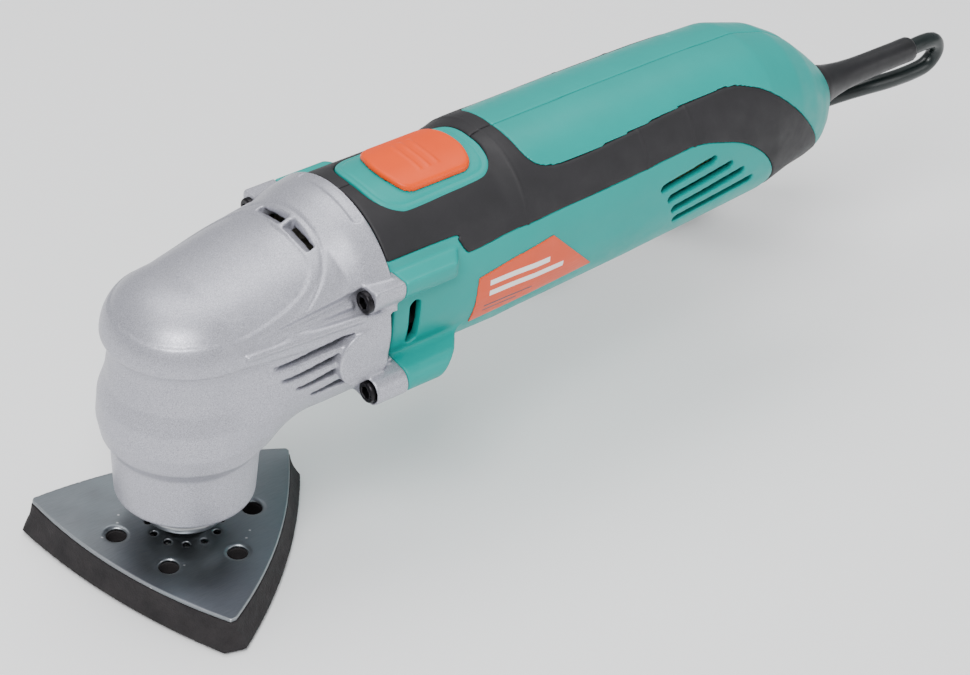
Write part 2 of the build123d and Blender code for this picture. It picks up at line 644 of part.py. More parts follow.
with BuildPart() as shell:
    add(body_solid(0))
    add(body_solid(WALL), mode=Mode.SUBTRACT)
    add(body_solid(GRIP_T) & body_solid(WALL), mode=Mode.SUBTRACT)
    # front opening
    add(ring(50.0, HOUSING_X + 3.4, 26.9, 0, 85.6), mode=Mode.SUBTRACT)
    # ribs that hold the stator, the rear bearing and the tail
    for rib_x, bore in [(96.0, STATOR_R), (124.0, STATOR_R), (173.5, 12.0)]:
        with BuildPart(mode=Mode.PRIVATE) as rib:
            add(body_solid(WALL - 0.6))
            with BuildSketch(Plane.YZ.offset(rib_x)):
                with Locations((0, MOTOR_Z)):
                    Rectangle(90, 90)
                    Circle(bore, mode=Mode.SUBTRACT)
            extrude(amount=3.0, mode=Mode.INTERSECT)
        add(rib.part)
    # channel for the switch rod
    with BuildSketch(Plane.YZ.offset(70)):
        with Locations((0, ROD_Z + 0.8)):
            Rectangle(8.4, 3.2)
    extrude(amount=150, mode=Mode.SUBTRACT)
    # bosses behind the casting's lugs
    with BuildSketch(Plane.YZ.offset(LUG_REAR + 0.2)):
        for side in (-1, 1):
            for offset_y, height in LUG_SPOTS:
                with Locations((side * offset_y, height)):
                    Circle(LUG_R)
        for side in (-1, 1):
            with BuildLine():
                Polyline(
                    (side * 16, 58), (side * 34, 61), (side * 34, 73), (side * 24, 78), close=True
                )
            make_face()
    extrude(amount=SHROUD_REAR - LUG_REAR - 0.2)
    # posts for the housing screws and the shelf under the cord clamp
    with BuildPart(mode=Mode.PRIVATE) as posts:
        add(body_solid(WALL - 0.6))
        with BuildSketch(Plane.XZ.offset(-40)):
            with Locations(*SCREW_SPOTS):
                Circle(SCREW_POST_R)
            with Locations((CLAMP_X, CLAMP_TOP - 10)):
                Rectangle(12, 20)
        extrude(amount=80, mode=Mode.INTERSECT)
    add(posts.part)
    with BuildSketch(Plane.XZ.offset(15)):
        with Locations(*SCREW_SPOTS):
            Circle(HOUSING_SCREW_R)
    extrude(amount=-60, mode=Mode.SUBTRACT)
    with BuildSketch(Plane.XZ.offset(-SCREW_SEAT_Y)):
        with Locations(*SCREW_SPOTS):
            Circle(HOUSING_HEAD_R + 0.3)
    extrude(amount=-30, mode=Mode.SUBTRACT)
    # keep the bosses out of the fan's space
    add(ring(HOUSING_X, 96.0, 26.9, 0, 85.6), mode=Mode.SUBTRACT)
    with BuildSketch(Plane.YZ.offset(50)):
        for side in (-1, 1):
            for offset_y, height in LUG_SPOTS:
                with Locations((side * offset_y, height)):
                    Circle(FLANGE_SCREW_R)
    extrude(amount=FLANGE_SCREW_END - 50, mode=Mode.SUBTRACT)
    # room for the casting's lugs
    with BuildSketch(Plane.YZ.offset(HOUSING_X - 1)):
        for side in (-1, 1):
            for offset_y, height in LUG_SPOTS:
                with Locations((side * offset_y, height)):
                    Circle(LUG_R + 0.2)
    extrude(amount=LUG_REAR + 0.2 - HOUSING_X + 1, mode=Mode.SUBTRACT)
    # side slots by the fan
    with BuildSketch(Plane.XZ.offset(-40)):
        with Locations((64.7, 79.5)):
            SlotOverall(17, 4.0, rotation=90)
    extrude(amount=80, mode=Mode.SUBTRACT)
    # air inlets near the tail
    with BuildSketch(Plane.XZ.offset(-40)):
        for k in range(4):
            with Locations((178.5 + 4.8 * k, 93.0 - 5.1 * k)):
                SlotOverall(28.0 + 4.6 * k, 2.6, rotation=6)
    extrude(amount=80, mode=Mode.SUBTRACT)
    # seat of the cord guard
    add(ring(TAIL_X - 30.0, TAIL_X + 5.0, 6.0, 0, GUARD_Z), mode=Mode.SUBTRACT)
    add(ring(GUARD_X - 4.0, GUARD_X + 10.0, 8.0, 0, GUARD_Z), mode=Mode.SUBTRACT)
    add(grip_skin.part, mode=Mode.SUBTRACT)
    with BuildSketch(Plane.XY.offset(100)):
        add(island_outline(0))
    extrude(amount=40, mode=Mode.SUBTRACT)
    add(window_cut.part, mode=Mode.SUBTRACT)

for name, side in (("left_housing", Keep.TOP), ("right_housing", Keep.BOTTOM)):
    write(split(shell.part, bisect_by=Plane.XZ, keep=side), name)
for name, side in (("left_grip", Keep.TOP), ("right_grip", Keep.BOTTOM)):
    write(split(grip_skin.part, bisect_by=Plane.XZ, keep=side), name)

# ---- switch ----
with BuildPart() as switch_surround:
    add(body_solid(-ISLAND_RISE, 0, 4))
    add(body_solid(WALL, 0, 4), mode=Mode.SUBTRACT)
    with BuildSketch(Plane.XY.offset(100)):
        add(island_outline(-0.05))
    extrude(amount=40, mode=Mode.INTERSECT)
    add(window_cut.part, mode=Mode.SUBTRACT)
write(switch_surround.part, "switch_surround")

with BuildPart() as switch_slider:
    add(body_solid(-ISLAND_RISE - 2.0, 1, 4))
    add(body_solid(-ISLAND_RISE - 0.3, 1, 4), mode=Mode.SUBTRACT)
    with BuildSketch(Plane.XY.offset(100)):
        with BuildLine():
            Line((SLIDER_X0 + SLIDER_BOW, SLIDER_HALF), (SLIDER_X1 - SLIDER_BOW, SLIDER_HALF))
            ThreePointArc(
                (SLIDER_X1 - SLIDER_BOW, SLIDER_HALF), (SLIDER_X1, 0), (SLIDER_X1 - SLIDER_BOW, -SLIDER_HALF)
            )
            Line((SLIDER_X1 - SLIDER_BOW, -SLIDER_HALF), (SLIDER_X0 + SLIDER_BOW, -SLIDER_HALF))
            ThreePointArc(
                (SLIDER_X0 + SLIDER_BOW, -SLIDER_HALF), (SLIDER_X0, 0), (SLIDER_X0 + SLIDER_BOW, SLIDER_HALF)
            )
        make_face()
    extrude(amount=40, mode=Mode.INTERSECT)
    with BuildSketch(Plane.XY.offset(ROD_Z + ROD_T)):
        with Locations((86.5, 0)):
            Rectangle(6.0, 8.0)
    extrude(amount=118.4 - ROD_Z - ROD_T)
write(switch_slider.part, "switch_slider")

SWITCH_X = 201.0
with BuildPart() as switch_rod:
    with BuildSketch(Plane.XY.offset(ROD_Z)):
        with Locations((141.0, 0)):
            Rectangle(116.0, 6.0)
    extrude(amount=ROD_T)
    with BuildSketch(Plane.XY.offset(ROD_Z - 6.0)):
        with Locations((SWITCH_X - 3.0, 0)):
            Rectangle(2.0, 6.0)
    extrude(amount=6.0)
write(switch_rod.part, "switch_rod")

with BuildPart() as power_switch:
    with BuildSketch(Plane.XY.offset(88.0)):
        with Locations((SWITCH_X + 12.0, 0)):
            Rectangle(23.0, 13.0)
    extrude(amount=16.0)
    fillet(power_switch.edges().filter_by(Axis.Z), 1.0)
    with BuildSketch(Plane.XY.offset(104.0)):
        with Locations((SWITCH_X + 4.0, 0)):
            Rectangle(4.0, 5.0)
    extrude(amount=4.0)
write(power_switch.part, "power_switch")

# ---- label on the -Y side ----
with BuildPart() as rating_label:
    add(body_solid(-0.5, 0, 6))
    add(body_solid(0, 0, 6), mode=Mode.SUBTRACT)
    with BuildSketch(Plane.XZ.offset(20)):
        with BuildLine():
            Polyline((87.2, 69.6), (88.8, 88.6), (119.2, 94.0), (139.4, 73.6), close=True)
        make_face()
        fillet(vertices(), 1.6)
    extrude(amount=20, mode=Mode.INTERSECT)
write(rating_label.part, "rating_label")

# ---- fasteners and wiring in the housing ----
with BuildPart() as housing_screws:
    with BuildSketch(Plane.XZ.offset(14)):
        with Locations(*SCREW_SPOTS):
            Circle(HOUSING_SCREW_R)
    extrude(amount=-14 - SCREW_SEAT_Y)
    with BuildSketch(Plane.XZ.offset(-SCREW_SEAT_Y)):
        with Locations(*SCREW_SPOTS):
            Circle(HOUSING_HEAD_R)
    extrude(amount=-2.2)
    with BuildSketch(Plane.XZ.offset(-SCREW_SEAT_Y - 1.0)):
        with Locations(*SCREW_SPOTS):
            Rectangle(3.4, 0.9)
            Rectangle(0.9, 3.4)
    extrude(amount=-2, mode=Mode.SUBTRACT)
write(housing_screws.part, "housing_screws")

with BuildPart() as capacitor:
    with BuildSketch(Plane.XY.offset(70.0)):
        with Locations((204.0, 0)):
            RectangleRounded(16.0, 11.0, 1.5)
    extrude(amount=14.0)
write(capacitor.part, "capacitor")

with BuildPart() as terminal_leads:
    for side in (-1, 1):
        with BuildPart(mode=Mode.PRIVATE) as lead:
            with BuildLine():
                lead_path = FilletPolyline(
                    (SWITCH_X + 23.5, side * 4.0, 96.0),
                    (SWITCH_X + 29.0, side * 4.0, 96.0),
                    (SWITCH_X + 29.0, side * 4.0, 84.0),
                    radius=2.0,
                )
            with BuildSketch(Plane(origin=lead_path @ 0, z_dir=lead_path % 0)):
                Circle(0.9)
            sweep()
        add(lead.part)
write(terminal_leads.part, "terminal_leads")

CLAMP_PLATE_T = 3.0
with BuildPart() as cord_clamp:
    with BuildSketch(Plane.XY.offset(CLAMP_TOP + 2 * CORD_R)):
        with Locations((CLAMP_X, 0)):
            RectangleRounded(9.0, 20.0, 1.0)
            with Locations((0, -6.6), (0, 6.6)):
                Circle(1.4, mode=Mode.SUBTRACT)
    extrude(amount=CLAMP_PLATE_T)
write(cord_clamp.part, "cord_clamp")

with BuildPart() as cord_clamp_screws:
    with BuildSketch(Plane.XY.offset(CLAMP_TOP)):
        with Locations((CLAMP_X, -6.6), (CLAMP_X, 6.6)):
            Circle(1.4)
    extrude(amount=2 * CORD_R + CLAMP_PLATE_T)
    with BuildSketch(Plane.XY.offset(CLAMP_TOP + 2 * CORD_R + CLAMP_PLATE_T)):
        with Locations((CLAMP_X, -6.6), (CLAMP_X, 6.6)):
            Circle(2.7)
    extrude(amount=1.8)
write(cord_clamp_screws.part, "cord_clamp_screws")

# ---- cord ----
with BuildPart() as cord_guard:
    with BuildSketch(Plane.XZ):
        with BuildLine():
            Polyline(
                (GUARD_X - 3.0, GUARD_Z + CORD_R), (GUARD_X - 3.0, GUARD_Z + 7.8),
                (GUARD_X + 3.0, GUARD_Z + 7.8), (GUARD_X + 3.0, GUARD_Z + GUARD_BASE_R),
                (GUARD_X + 8.0, GUARD_Z + 7.0), (GUARD_X + 15.0, GUARD_Z + 5.2),
                (GUARD_X + 24.0, GUARD_Z + GUARD_R), (GUARD_END, GUARD_Z + GUARD_R),
                (GUARD_END, GUARD_Z + CORD_R), close=True,
            )  # fmt: skip
        make_face()
    revolve(axis=Axis((0, 0, GUARD_Z), (1, 0, 0)))
write(cord_guard.part, "cord_guard")
write(ring(226.0, GUARD_END, CORD_R, 0, GUARD_Z), "inner_cord")

# Route of the free cord: out of the guard, round a tight fold, back under the guard and down
# behind the tail, where it comes over the hank's rim into its inner turn.
ROUTE = [
    (GUARD_END, 0.0, GUARD_Z), (318.0, 0.2, 82.8), (325.4, 0.9, 81.2), (328.2, 1.6, 75.8),
    (325.0, 2.2, 70.4), (318.0, 2.5, 69.2), (305.0, 2.6, 69.6), (293.5, 4.8, 69.4),
    (284.0, 10.0, 66.0), (277.6, 18.8, 58.5), (274.8, 29.5, 48.5), (271.5, 40.0, 38.5),
    (265.0, 49.0, 30.0), (255.0, 56.0, 25.0), (244.5, 62.5, 21.5), (236.0, 69.0, 18.0),
]  # fmt: skip
PLUG_ROUTE = [(186.0, 58.6, 15.0), (172.0, 61.4, 14.4), (PLUG_X + 8.0, PLUG_Y, 13.0)]


def cord_tube(points, name):
    """A round tube along straight runs joined by arcs as large as the runs allow."""
    spots = [Vector(*point) for point in points]
    radii = []
    for before, here, after in zip(spots, spots[1:], spots[2:]):
        arriving = here - before
        leaving = after - here
        turn = arriving.get_angle(leaving)
        shorter = min(arriving.length, leaving.length)
        radii.append(0.45 * shorter / tan(radians(turn / 2)))
    with BuildPart() as tube:
        with BuildLine() as path:
            FilletPolyline(*points, radius=radii)
        with BuildSketch(Plane(origin=path.line @ 0, z_dir=path.line % 0)):
            Circle(CORD_R)
        sweep()
    length = sum(edge.length for edge in path.edges())
    print(name, "radii", [round(radius, 1) for radius in radii])
    ratio = tube.part.volume / (pi * CORD_R**2 * length)
    print(name, "length", round(length, 1), "volume over section times length", round(ratio, 4))
    write(tube.part, name)


cord_tube(ROUTE, "supply_cord")
cord_tube(PLUG_ROUTE, "plug_cord")

HANK_END_R = HANK_WIDTH / 2
HANK_REACH = HANK_LENGTH / 2 - HANK_END_R
TIE_W = 7.0
TIE_T = 1.2
WAIST = 25.6
with BuildPart() as cord_hank:
    with BuildSketch() as hank_face:
        with Locations(HANK_CENTRE):
            with Locations((-HANK_REACH, 0), (HANK_REACH, 0)):
                Circle(HANK_END_R)
            Rectangle(2 * HANK_REACH, 2 * 18.0)
            with Locations((-HANK_REACH, 0), (HANK_REACH, 0)):
                Circle(14.0, mode=Mode.SUBTRACT)
            Rectangle(TIE_W + 2, HANK_WIDTH, mode=Mode.SUBTRACT)
            Rectangle(TIE_W + 4, WAIST)
    extrude(amount=HANK_H)
    with BuildSketch():
        with Locations(HANK_CENTRE):
            Rectangle(TIE_W + 2, HANK_WIDTH)
    extrude(amount=TIE_T, mode=Mode.SUBTRACT)
    with BuildSketch(Plane.XY.offset(HANK_H)):
        with Locations(HANK_CENTRE):
            Rectangle(TIE_W, WAIST)
    extrude(amount=TIE_T)
write(cord_hank.part, "cord_hank")

with BuildPart() as cord_tie:
    with BuildSketch(Plane.YZ.offset(HANK_CENTRE[0] - TIE_W / 2)):
        with Locations((HANK_CENTRE[1], HANK_H / 2 + TIE_T)):
            RectangleRounded(WAIST + 2 * TIE_T, HANK_H + 2 * TIE_T, 1.5)
            Rectangle(WAIST, HANK_H, mode=Mode.SUBTRACT)
    extrude(amount=TIE_W)
write(cord_tie.part, "cord_tie")

# Two-pin contour plug lying on one of its flat sides
PLUG_HALF_H = 13.0
PIN_R = 2.4
PIN_PITCH = 19.0
PIN_L = 19.0
PLUG_FACE_X = PLUG_X - 38.0
with BuildPart() as plug_body:
    with BuildSketch(Plane.YZ.offset(PLUG_FACE_X)):
        with Locations((PLUG_Y, PLUG_HALF_H)):
            Circle(PLUG_R)
            Rectangle(2 * PLUG_R, 2 * PLUG_HALF_H, mode=Mode.INTERSECT)
    with BuildSketch(Plane.YZ.offset(PLUG_FACE_X + 16)):
        with Locations((PLUG_Y, PLUG_HALF_H)):
            Circle(PLUG_R - 1.5)
            Rectangle(2 * PLUG_R, 2 * PLUG_HALF_H - 1.0, mode=Mode.INTERSECT)
    loft(ruled=True)
    with BuildSketch(Plane.YZ.offset(PLUG_FACE_X + 16)):
        with Locations((PLUG_Y, PLUG_HALF_H)):
            RectangleRounded(26.0, 21.0, 8.0)
    with BuildSketch(Plane.YZ.offset(PLUG_X)):
        with Locations((PLUG_Y, PLUG_HALF_H)):
            RectangleRounded(12.0, 12.0, 5.5)
    loft(ruled=True)
    with BuildSketch(Plane.YZ.offset(PLUG_X)):
        with Locations((PLUG_Y, PLUG_HALF_H)):
            Circle(4.6)
    extrude(amount=8.0)
write(plug_body.part, "plug_body")

with BuildPart() as plug_pins:
    with BuildSketch(Plane.YZ.offset(PLUG_FACE_X)):
        with Locations((PLUG_Y - PIN_PITCH / 2, PLUG_HALF_H), (PLUG_Y + PIN_PITCH / 2, PLUG_HALF_H)):
            Circle(PIN_R)
    extrude(amount=-PIN_L)
write(plug_pins.part, "plug_pins")
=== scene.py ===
from functools import reduce
from math import cos, pi, radians, sin

import bmesh
import bpy
import numpy as np
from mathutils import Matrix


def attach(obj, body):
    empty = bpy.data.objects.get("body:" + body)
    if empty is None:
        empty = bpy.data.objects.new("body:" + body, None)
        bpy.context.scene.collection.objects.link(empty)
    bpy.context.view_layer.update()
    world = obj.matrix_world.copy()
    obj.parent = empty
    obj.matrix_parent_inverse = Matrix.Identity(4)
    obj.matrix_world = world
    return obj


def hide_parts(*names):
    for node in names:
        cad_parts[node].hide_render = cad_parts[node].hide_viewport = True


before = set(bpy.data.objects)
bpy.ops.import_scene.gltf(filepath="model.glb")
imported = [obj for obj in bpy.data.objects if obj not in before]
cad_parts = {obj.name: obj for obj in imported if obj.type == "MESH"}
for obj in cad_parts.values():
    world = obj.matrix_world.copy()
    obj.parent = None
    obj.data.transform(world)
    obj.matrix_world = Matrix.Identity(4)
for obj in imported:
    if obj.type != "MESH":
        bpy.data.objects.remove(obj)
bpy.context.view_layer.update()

import openvdb
from mathutils import Matrix, Vector

# Oscillating multi tool. Sizes in this script are millimetres in the frame's own axes, and
# MM turns them into Blender's metres. Moulded and cast pieces are made as distance fields:
# a field is under nought inside the piece, and its skin is where the field is nought.
MM = 0.001


# ---------------------------------------------------------------- camera, light, floor
FLOOR_REACH = 6.0  # metres
FLOOR_DROP = 0.0002  # metres, so that the floor and the pad's underside never coincide


def make_camera():
    """The camera, fitted to the tool as it is seen; its place is in metres."""
    right = Vector((0.7765, -0.6271, 0.0618))
    up = Vector((0.3344, 0.4932, 0.8031))
    back = right.cross(up)
    turn = Matrix((right, up, back)).transposed().to_4x4()
    data = bpy.data.cameras.new("camera")
    data.sensor_width = 36.0
    data.lens = 114.67
    data.clip_end = 10.0
    camera = bpy.data.objects.new("camera", data)
    camera.matrix_world = Matrix.Translation((-0.4284, -0.6196, 0.6427)) @ turn
    bpy.context.scene.collection.objects.link(camera)
    bpy.context.scene.camera = camera


def area_light(name, place, aim, size, watts):
    data = bpy.data.lights.new(name, "AREA")
    data.shape = "RECTANGLE"
    data.size, data.size_y = size
    data.energy = watts
    light = bpy.data.objects.new(name, data)
    light.location = place
    light.rotation_euler = (Vector(aim) - Vector(place)).to_track_quat("-Z", "Y").to_euler()
    bpy.context.scene.collection.objects.link(light)


def make_studio():
    aim = (0.1, 0.0, 0.06)
    area_light("key", (-0.65, -0.55, 1.25), aim, (0.7, 0.7), 24.0)
    area_light("top", (0.35, 0.45, 1.5), aim, (1.4, 1.0), 16.0)
    area_light("side", (0.9, -1.1, 0.5), aim, (0.7, 0.7), 4.0)
    world = bpy.data.worlds.new("studio")
    world.use_nodes = True
    background = world.node_tree.nodes["Background"]
    background.inputs["Color"].default_value = (0.95, 0.97, 1.0, 1.0)
    background.inputs["Strength"].default_value = 0.5
    bpy.context.scene.world = world
    floor_mesh = bpy.data.meshes.new("floor")
    reach = FLOOR_REACH
    corners = [(-reach, -reach, 0), (reach, -reach, 0), (reach, reach, 0), (-reach, reach, 0)]
    floor_mesh.from_pydata(corners, [], [(0, 1, 2, 3)])
    floor = bpy.data.objects.new("floor", floor_mesh)
    floor.location.z = -FLOOR_DROP
    bpy.context.scene.collection.objects.link(floor)
    pale = bpy.data.materials.new("floor_pale")
    pale.use_nodes = True
    shader = pale.node_tree.nodes["Principled BSDF"]
    shader.inputs["Base Color"].default_value = (0.93, 0.93, 0.93, 1.0)
    shader.inputs["Roughness"].default_value = 0.9
    floor_mesh.materials.append(pale)


make_camera()
make_studio()


# ---------------------------------------------------------------- materials
NOISE_ROUGHNESS = 0.55
WAVE_SCALE = 0.314  # the wave texture's period at scale 1


class Maker:
    """Builds one node material around a Principled shader."""

    def __init__(self, name):
        self.material = bpy.data.materials.new(name)
        self.material.use_nodes = True
        self.tree = self.material.node_tree
        self.shader = self.tree.nodes["Principled BSDF"]
        self.place = self.tree.nodes.new("ShaderNodeTexCoord").outputs["Object"]
        self.height = None

    def node(self, kind, **values):
        made = self.tree.nodes.new(kind)
        for key, value in values.items():
            setattr(made, key, value)
        return made

    def link(self, source, target):
        self.tree.links.new(source, target)

    def stretched(self, scale, turn):
        mapping = self.node("ShaderNodeMapping")
        mapping.inputs["Scale"].default_value = scale
        mapping.inputs["Rotation"].default_value = turn
        self.link(self.place, mapping.inputs["Vector"])
        return mapping.outputs["Vector"]

    def noise(self, size, detail=4.0, vector=None):
        """Noise whose features are about size millimetres across."""
        made = self.node("ShaderNodeTexNoise")
        made.inputs["Scale"].default_value = 1.0 / (size * MM)
        made.inputs["Detail"].default_value = detail
        made.inputs["Roughness"].default_value = NOISE_ROUGHNESS
        self.link(vector or self.place, made.inputs["Vector"])
        return made.outputs["Fac"]

    def cells(self, size):
        made = self.node("ShaderNodeTexVoronoi")
        made.inputs["Scale"].default_value = 1.0 / (size * MM)
        self.link(self.place, made.inputs["Vector"])
        return made

    def waves(self, size, direction):
        made = self.node("ShaderNodeTexWave", bands_direction=direction)
        made.inputs["Scale"].default_value = WAVE_SCALE / (size * MM)
        self.link(self.place, made.inputs["Vector"])
        return made.outputs["Fac"]

    def spread(self, source, low, high, start=0.3, end=0.7):
        """A value that goes from low to high as source goes from start to end."""
        made = self.node("ShaderNodeMapRange")
        made.inputs["From Min"].default_value = start
        made.inputs["From Max"].default_value = end
        made.inputs["To Min"].default_value = low
        made.inputs["To Max"].default_value = high
        self.link(source, made.inputs["Value"])
        return made.outputs["Result"]

    def mixed(self, factor, first, second):
        made = self.node("ShaderNodeMix", data_type="RGBA")
        self.link(factor, made.inputs["Factor"])
        for value, socket in ((first, made.inputs["A"]), (second, made.inputs["B"])):
            if isinstance(value, tuple):
                socket.default_value = (*value, 1.0)
            else:
                self.link(value, socket)
        return made.outputs["Result"]

    # painted highlight: this mask lightens sharp outer edges, where light catches them
    def painted_edge_highlight(self, start=0.53, end=0.6):
        """Mask for the painted highlight on sharp outer edges: nought on flats and one on sharp outer edges.
        """
        edge = self.node("ShaderNodeNewGeometry").outputs["Pointiness"]
        return self.spread(edge, 0.0, 1.0, start, end)

    def colour(self, source):
        self.link(source, self.shader.inputs["Base Color"])

    def rough(self, source):
        self.link(source, self.shader.inputs["Roughness"])

    def bump(self, source, depth):
        """Adds bumps depth millimetres high."""
        made = self.node("ShaderNodeBump")
        made.inputs["Distance"].default_value = depth * MM
        self.link(source, made.inputs["Height"])
        if self.height is not None:
            self.link(self.height, made.inputs["Normal"])
        self.height = made.outputs["Normal"]
        self.link(self.height, self.shader.inputs["Normal"])

    def set(self, **values):
        for key, value in values.items():
            self.shader.inputs[key.replace("_", " ")].default_value = value


def silver_paint():
    m = Maker("silver_paint")
    m.set(Metallic=0.55, Coat_Weight=0.15, Coat_Roughness=0.3)
    flake = m.cells(0.35).outputs["Color"]
    dark = (0.27, 0.27, 0.31)
    light = (0.56, 0.56, 0.62)
    speck = m.spread(m.noise(0.3, 1.0), 0.0, 1.0, 0.3, 0.72)
    cloud = m.spread(m.noise(14.0), 0.0, 0.35)
    paint = m.mixed(speck, dark, light)
    paint = m.mixed(cloud, paint, (0.39, 0.39, 0.44))
    # painted highlight: sharp outer edges go over to a paler even grey
    m.colour(m.mixed(m.painted_edge_highlight(0.53, 0.68), paint, (0.45, 0.46, 0.49)))
    m.rough(m.spread(flake, 0.34, 0.52, 0.0, 1.0))
    m.bump(m.noise(0.35, 2.0), 0.018)
    m.bump(m.noise(4.0, 2.0), 0.03)
    return m.material


def moulded_plastic(name, base, shade, roughness=0.42):
    m = Maker(name)
    m.set(Specular_IOR_Level=0.28)
    tint = m.mixed(m.spread(m.noise(22.0, 3.0), 0.0, 1.0), base, shade)
    # painted highlight: sharp outer edges go over to a paler tint of the base colour
    pale = tuple(min(1.0, 1.25 * c + 0.02) for c in base)
    m.colour(m.mixed(m.painted_edge_highlight(), tint, pale))
    m.rough(m.spread(m.noise(6.0, 5.0), roughness - 0.06, roughness + 0.08))
    m.bump(m.noise(0.45, 3.0), 0.012)
    m.bump(m.noise(18.0, 1.0), 0.05)
    return m.material


def soft_grip():
    m = Maker("soft_grip")
    tint = m.mixed(m.spread(m.noise(16.0, 4.0), 0.0, 1.0), (0.0075, 0.0068, 0.0085), (0.011, 0.0098, 0.012))
    # painted highlight: sharp outer edges of the black grip go over to a lighter grey-black
    m.colour(m.mixed(m.painted_edge_highlight(0.54, 0.62), tint, (0.03, 0.028, 0.032)))
    m.rough(m.spread(m.noise(9.0, 5.0), 0.56, 0.72))
    m.bump(m.noise(0.32, 3.0), 0.02)
    m.bump(m.noise(12.0, 2.0), 0.06)
    return m.material


def foam():
    m = Maker("pad_foam")
    pores = m.cells(0.55)
    # painted shade: the middle of each pore is darkened to near black
    hole = m.spread(pores.outputs["Distance"], 0.0, 1.0, 0.0, 0.35)
    tint = m.mixed(m.spread(m.noise(7.0, 4.0), 0.0, 1.0), (0.01, 0.0085, 0.0095), (0.02, 0.017, 0.018))
    m.colour(m.mixed(hole, (0.005, 0.004, 0.005), tint))
    m.rough(m.spread(m.noise(3.0), 0.85, 0.98))
    m.bump(pores.outputs["Distance"], 0.12)
    m.bump(m.noise(1.4, 5.0), 0.18)
    return m.material


def brushed_steel(name, base, turn=0.0, streak=(0.02, 1.0, 1.0), roughness=0.34):
    m = Maker(name)
    m.set(Metallic=1.0)
    lines = m.noise(0.25, 3.0, vector=m.stretched(streak, (0.0, 0.0, turn)))
    stain = m.spread(m.noise(24.0, 4.0), 0.0, 1.0)
    bright = tuple(min(1.0, c * 1.22) for c in base)
    steel = m.mixed(m.spread(lines, 0.0, 1.0), base, bright)
    steel = m.mixed(m.spread(m.noise(30.0, 3.0), 0.0, 0.4), steel, (0.26, 0.33, 0.36))
    # painted highlight: sharp outer edges of the steel go over to a bright pale grey
    m.colour(m.mixed(m.painted_edge_highlight(0.52, 0.6), steel, (0.7, 0.71, 0.73)))
    m.rough(m.spread(stain, roughness - 0.05, roughness + 0.09, 0.0, 1.0))
    m.bump(lines, 0.006)
    return m.material


def ground_metal(name, base, roughness=0.3, metallic=1.0):
    m = Maker(name)
    m.set(Metallic=metallic)
    dull = tuple(0.7 * c for c in base)
    tint = m.mixed(m.spread(m.noise(5.0, 5.0), 0.0, 1.0), base, dull)
    # painted highlight: sharp outer edges go over to a paler, brighter tint of the base
    m.colour(m.mixed(m.painted_edge_highlight(0.52, 0.6), tint, tuple(min(1.0, 1.3 * c + 0.05) for c in base)))
    m.rough(m.spread(m.noise(2.0, 4.0), roughness - 0.08, roughness + 0.1))
    m.bump(m.noise(0.3, 4.0), 0.008)
    return m.material


def banded(name, low, high, pitch, direction, metallic=0.9, roughness=0.4, depth=0.1):
    """Laminations, windings and other close parallel bands."""
    m = Maker(name)
    m.set(Metallic=metallic)
    band = m.waves(pitch, direction)
    tint = m.mixed(m.spread(band, 0.0, 1.0, 0.2, 0.8), low, high)
    m.colour(m.mixed(m.spread(m.noise(4.0, 4.0), 0.0, 0.5), tint, low))
    m.rough(m.spread(m.noise(3.0), roughness - 0.06, roughness + 0.1))
    m.bump(band, depth)
    return m.material


def rubber(name, base, roughness=0.6, depth=0.02):
    m = Maker(name)
    tint = m.mixed(m.spread(m.noise(8.0, 4.0), 0.0, 1.0), base, tuple(1.7 * c + 0.004 for c in base))
    # painted highlight: sharp outer edges of the rubber go over to a much lighter tint
    m.colour(m.mixed(m.painted_edge_highlight(0.54, 0.64), tint, tuple(3.0 * c + 0.02 for c in base)))
    m.rough(m.spread(m.noise(5.0, 4.0), roughness - 0.07, roughness + 0.09))
    m.bump(m.noise(0.4, 3.0), depth)
    return m.material


def cord_sheath():
    m = Maker("cord_sheath")
    tint = m.mixed(m.spread(m.noise(14.0, 3.0), 0.0, 1.0), (0.002, 0.006, 0.006), (0.003, 0.009, 0.009))
    m.colour(tint)
    m.rough(m.spread(m.noise(4.0, 4.0), 0.26, 0.38))
    m.bump(m.noise(0.6, 3.0), 0.012)
    m.bump(m.noise(9.0, 2.0), 0.05)
    return m.material


def woven(name, base, thread):
    m = Maker(name)
    across = m.waves(thread, "X")
    along = m.waves(thread, "Y")
    weave = m.node("ShaderNodeMath", operation="MULTIPLY")
    m.link(across, weave.inputs[0])
    m.link(along, weave.inputs[1])
    tint = m.mixed(m.spread(weave.outputs[0], 0.0, 1.0, 0.0, 0.6), base, tuple(2.4 * c + 0.01 for c in base))
    m.colour(tint)
    m.rough(m.spread(m.noise(2.0), 0.82, 0.95))
    m.bump(weave.outputs[0], 0.15)
    m.bump(m.noise(0.5, 4.0), 0.08)
    return m.material


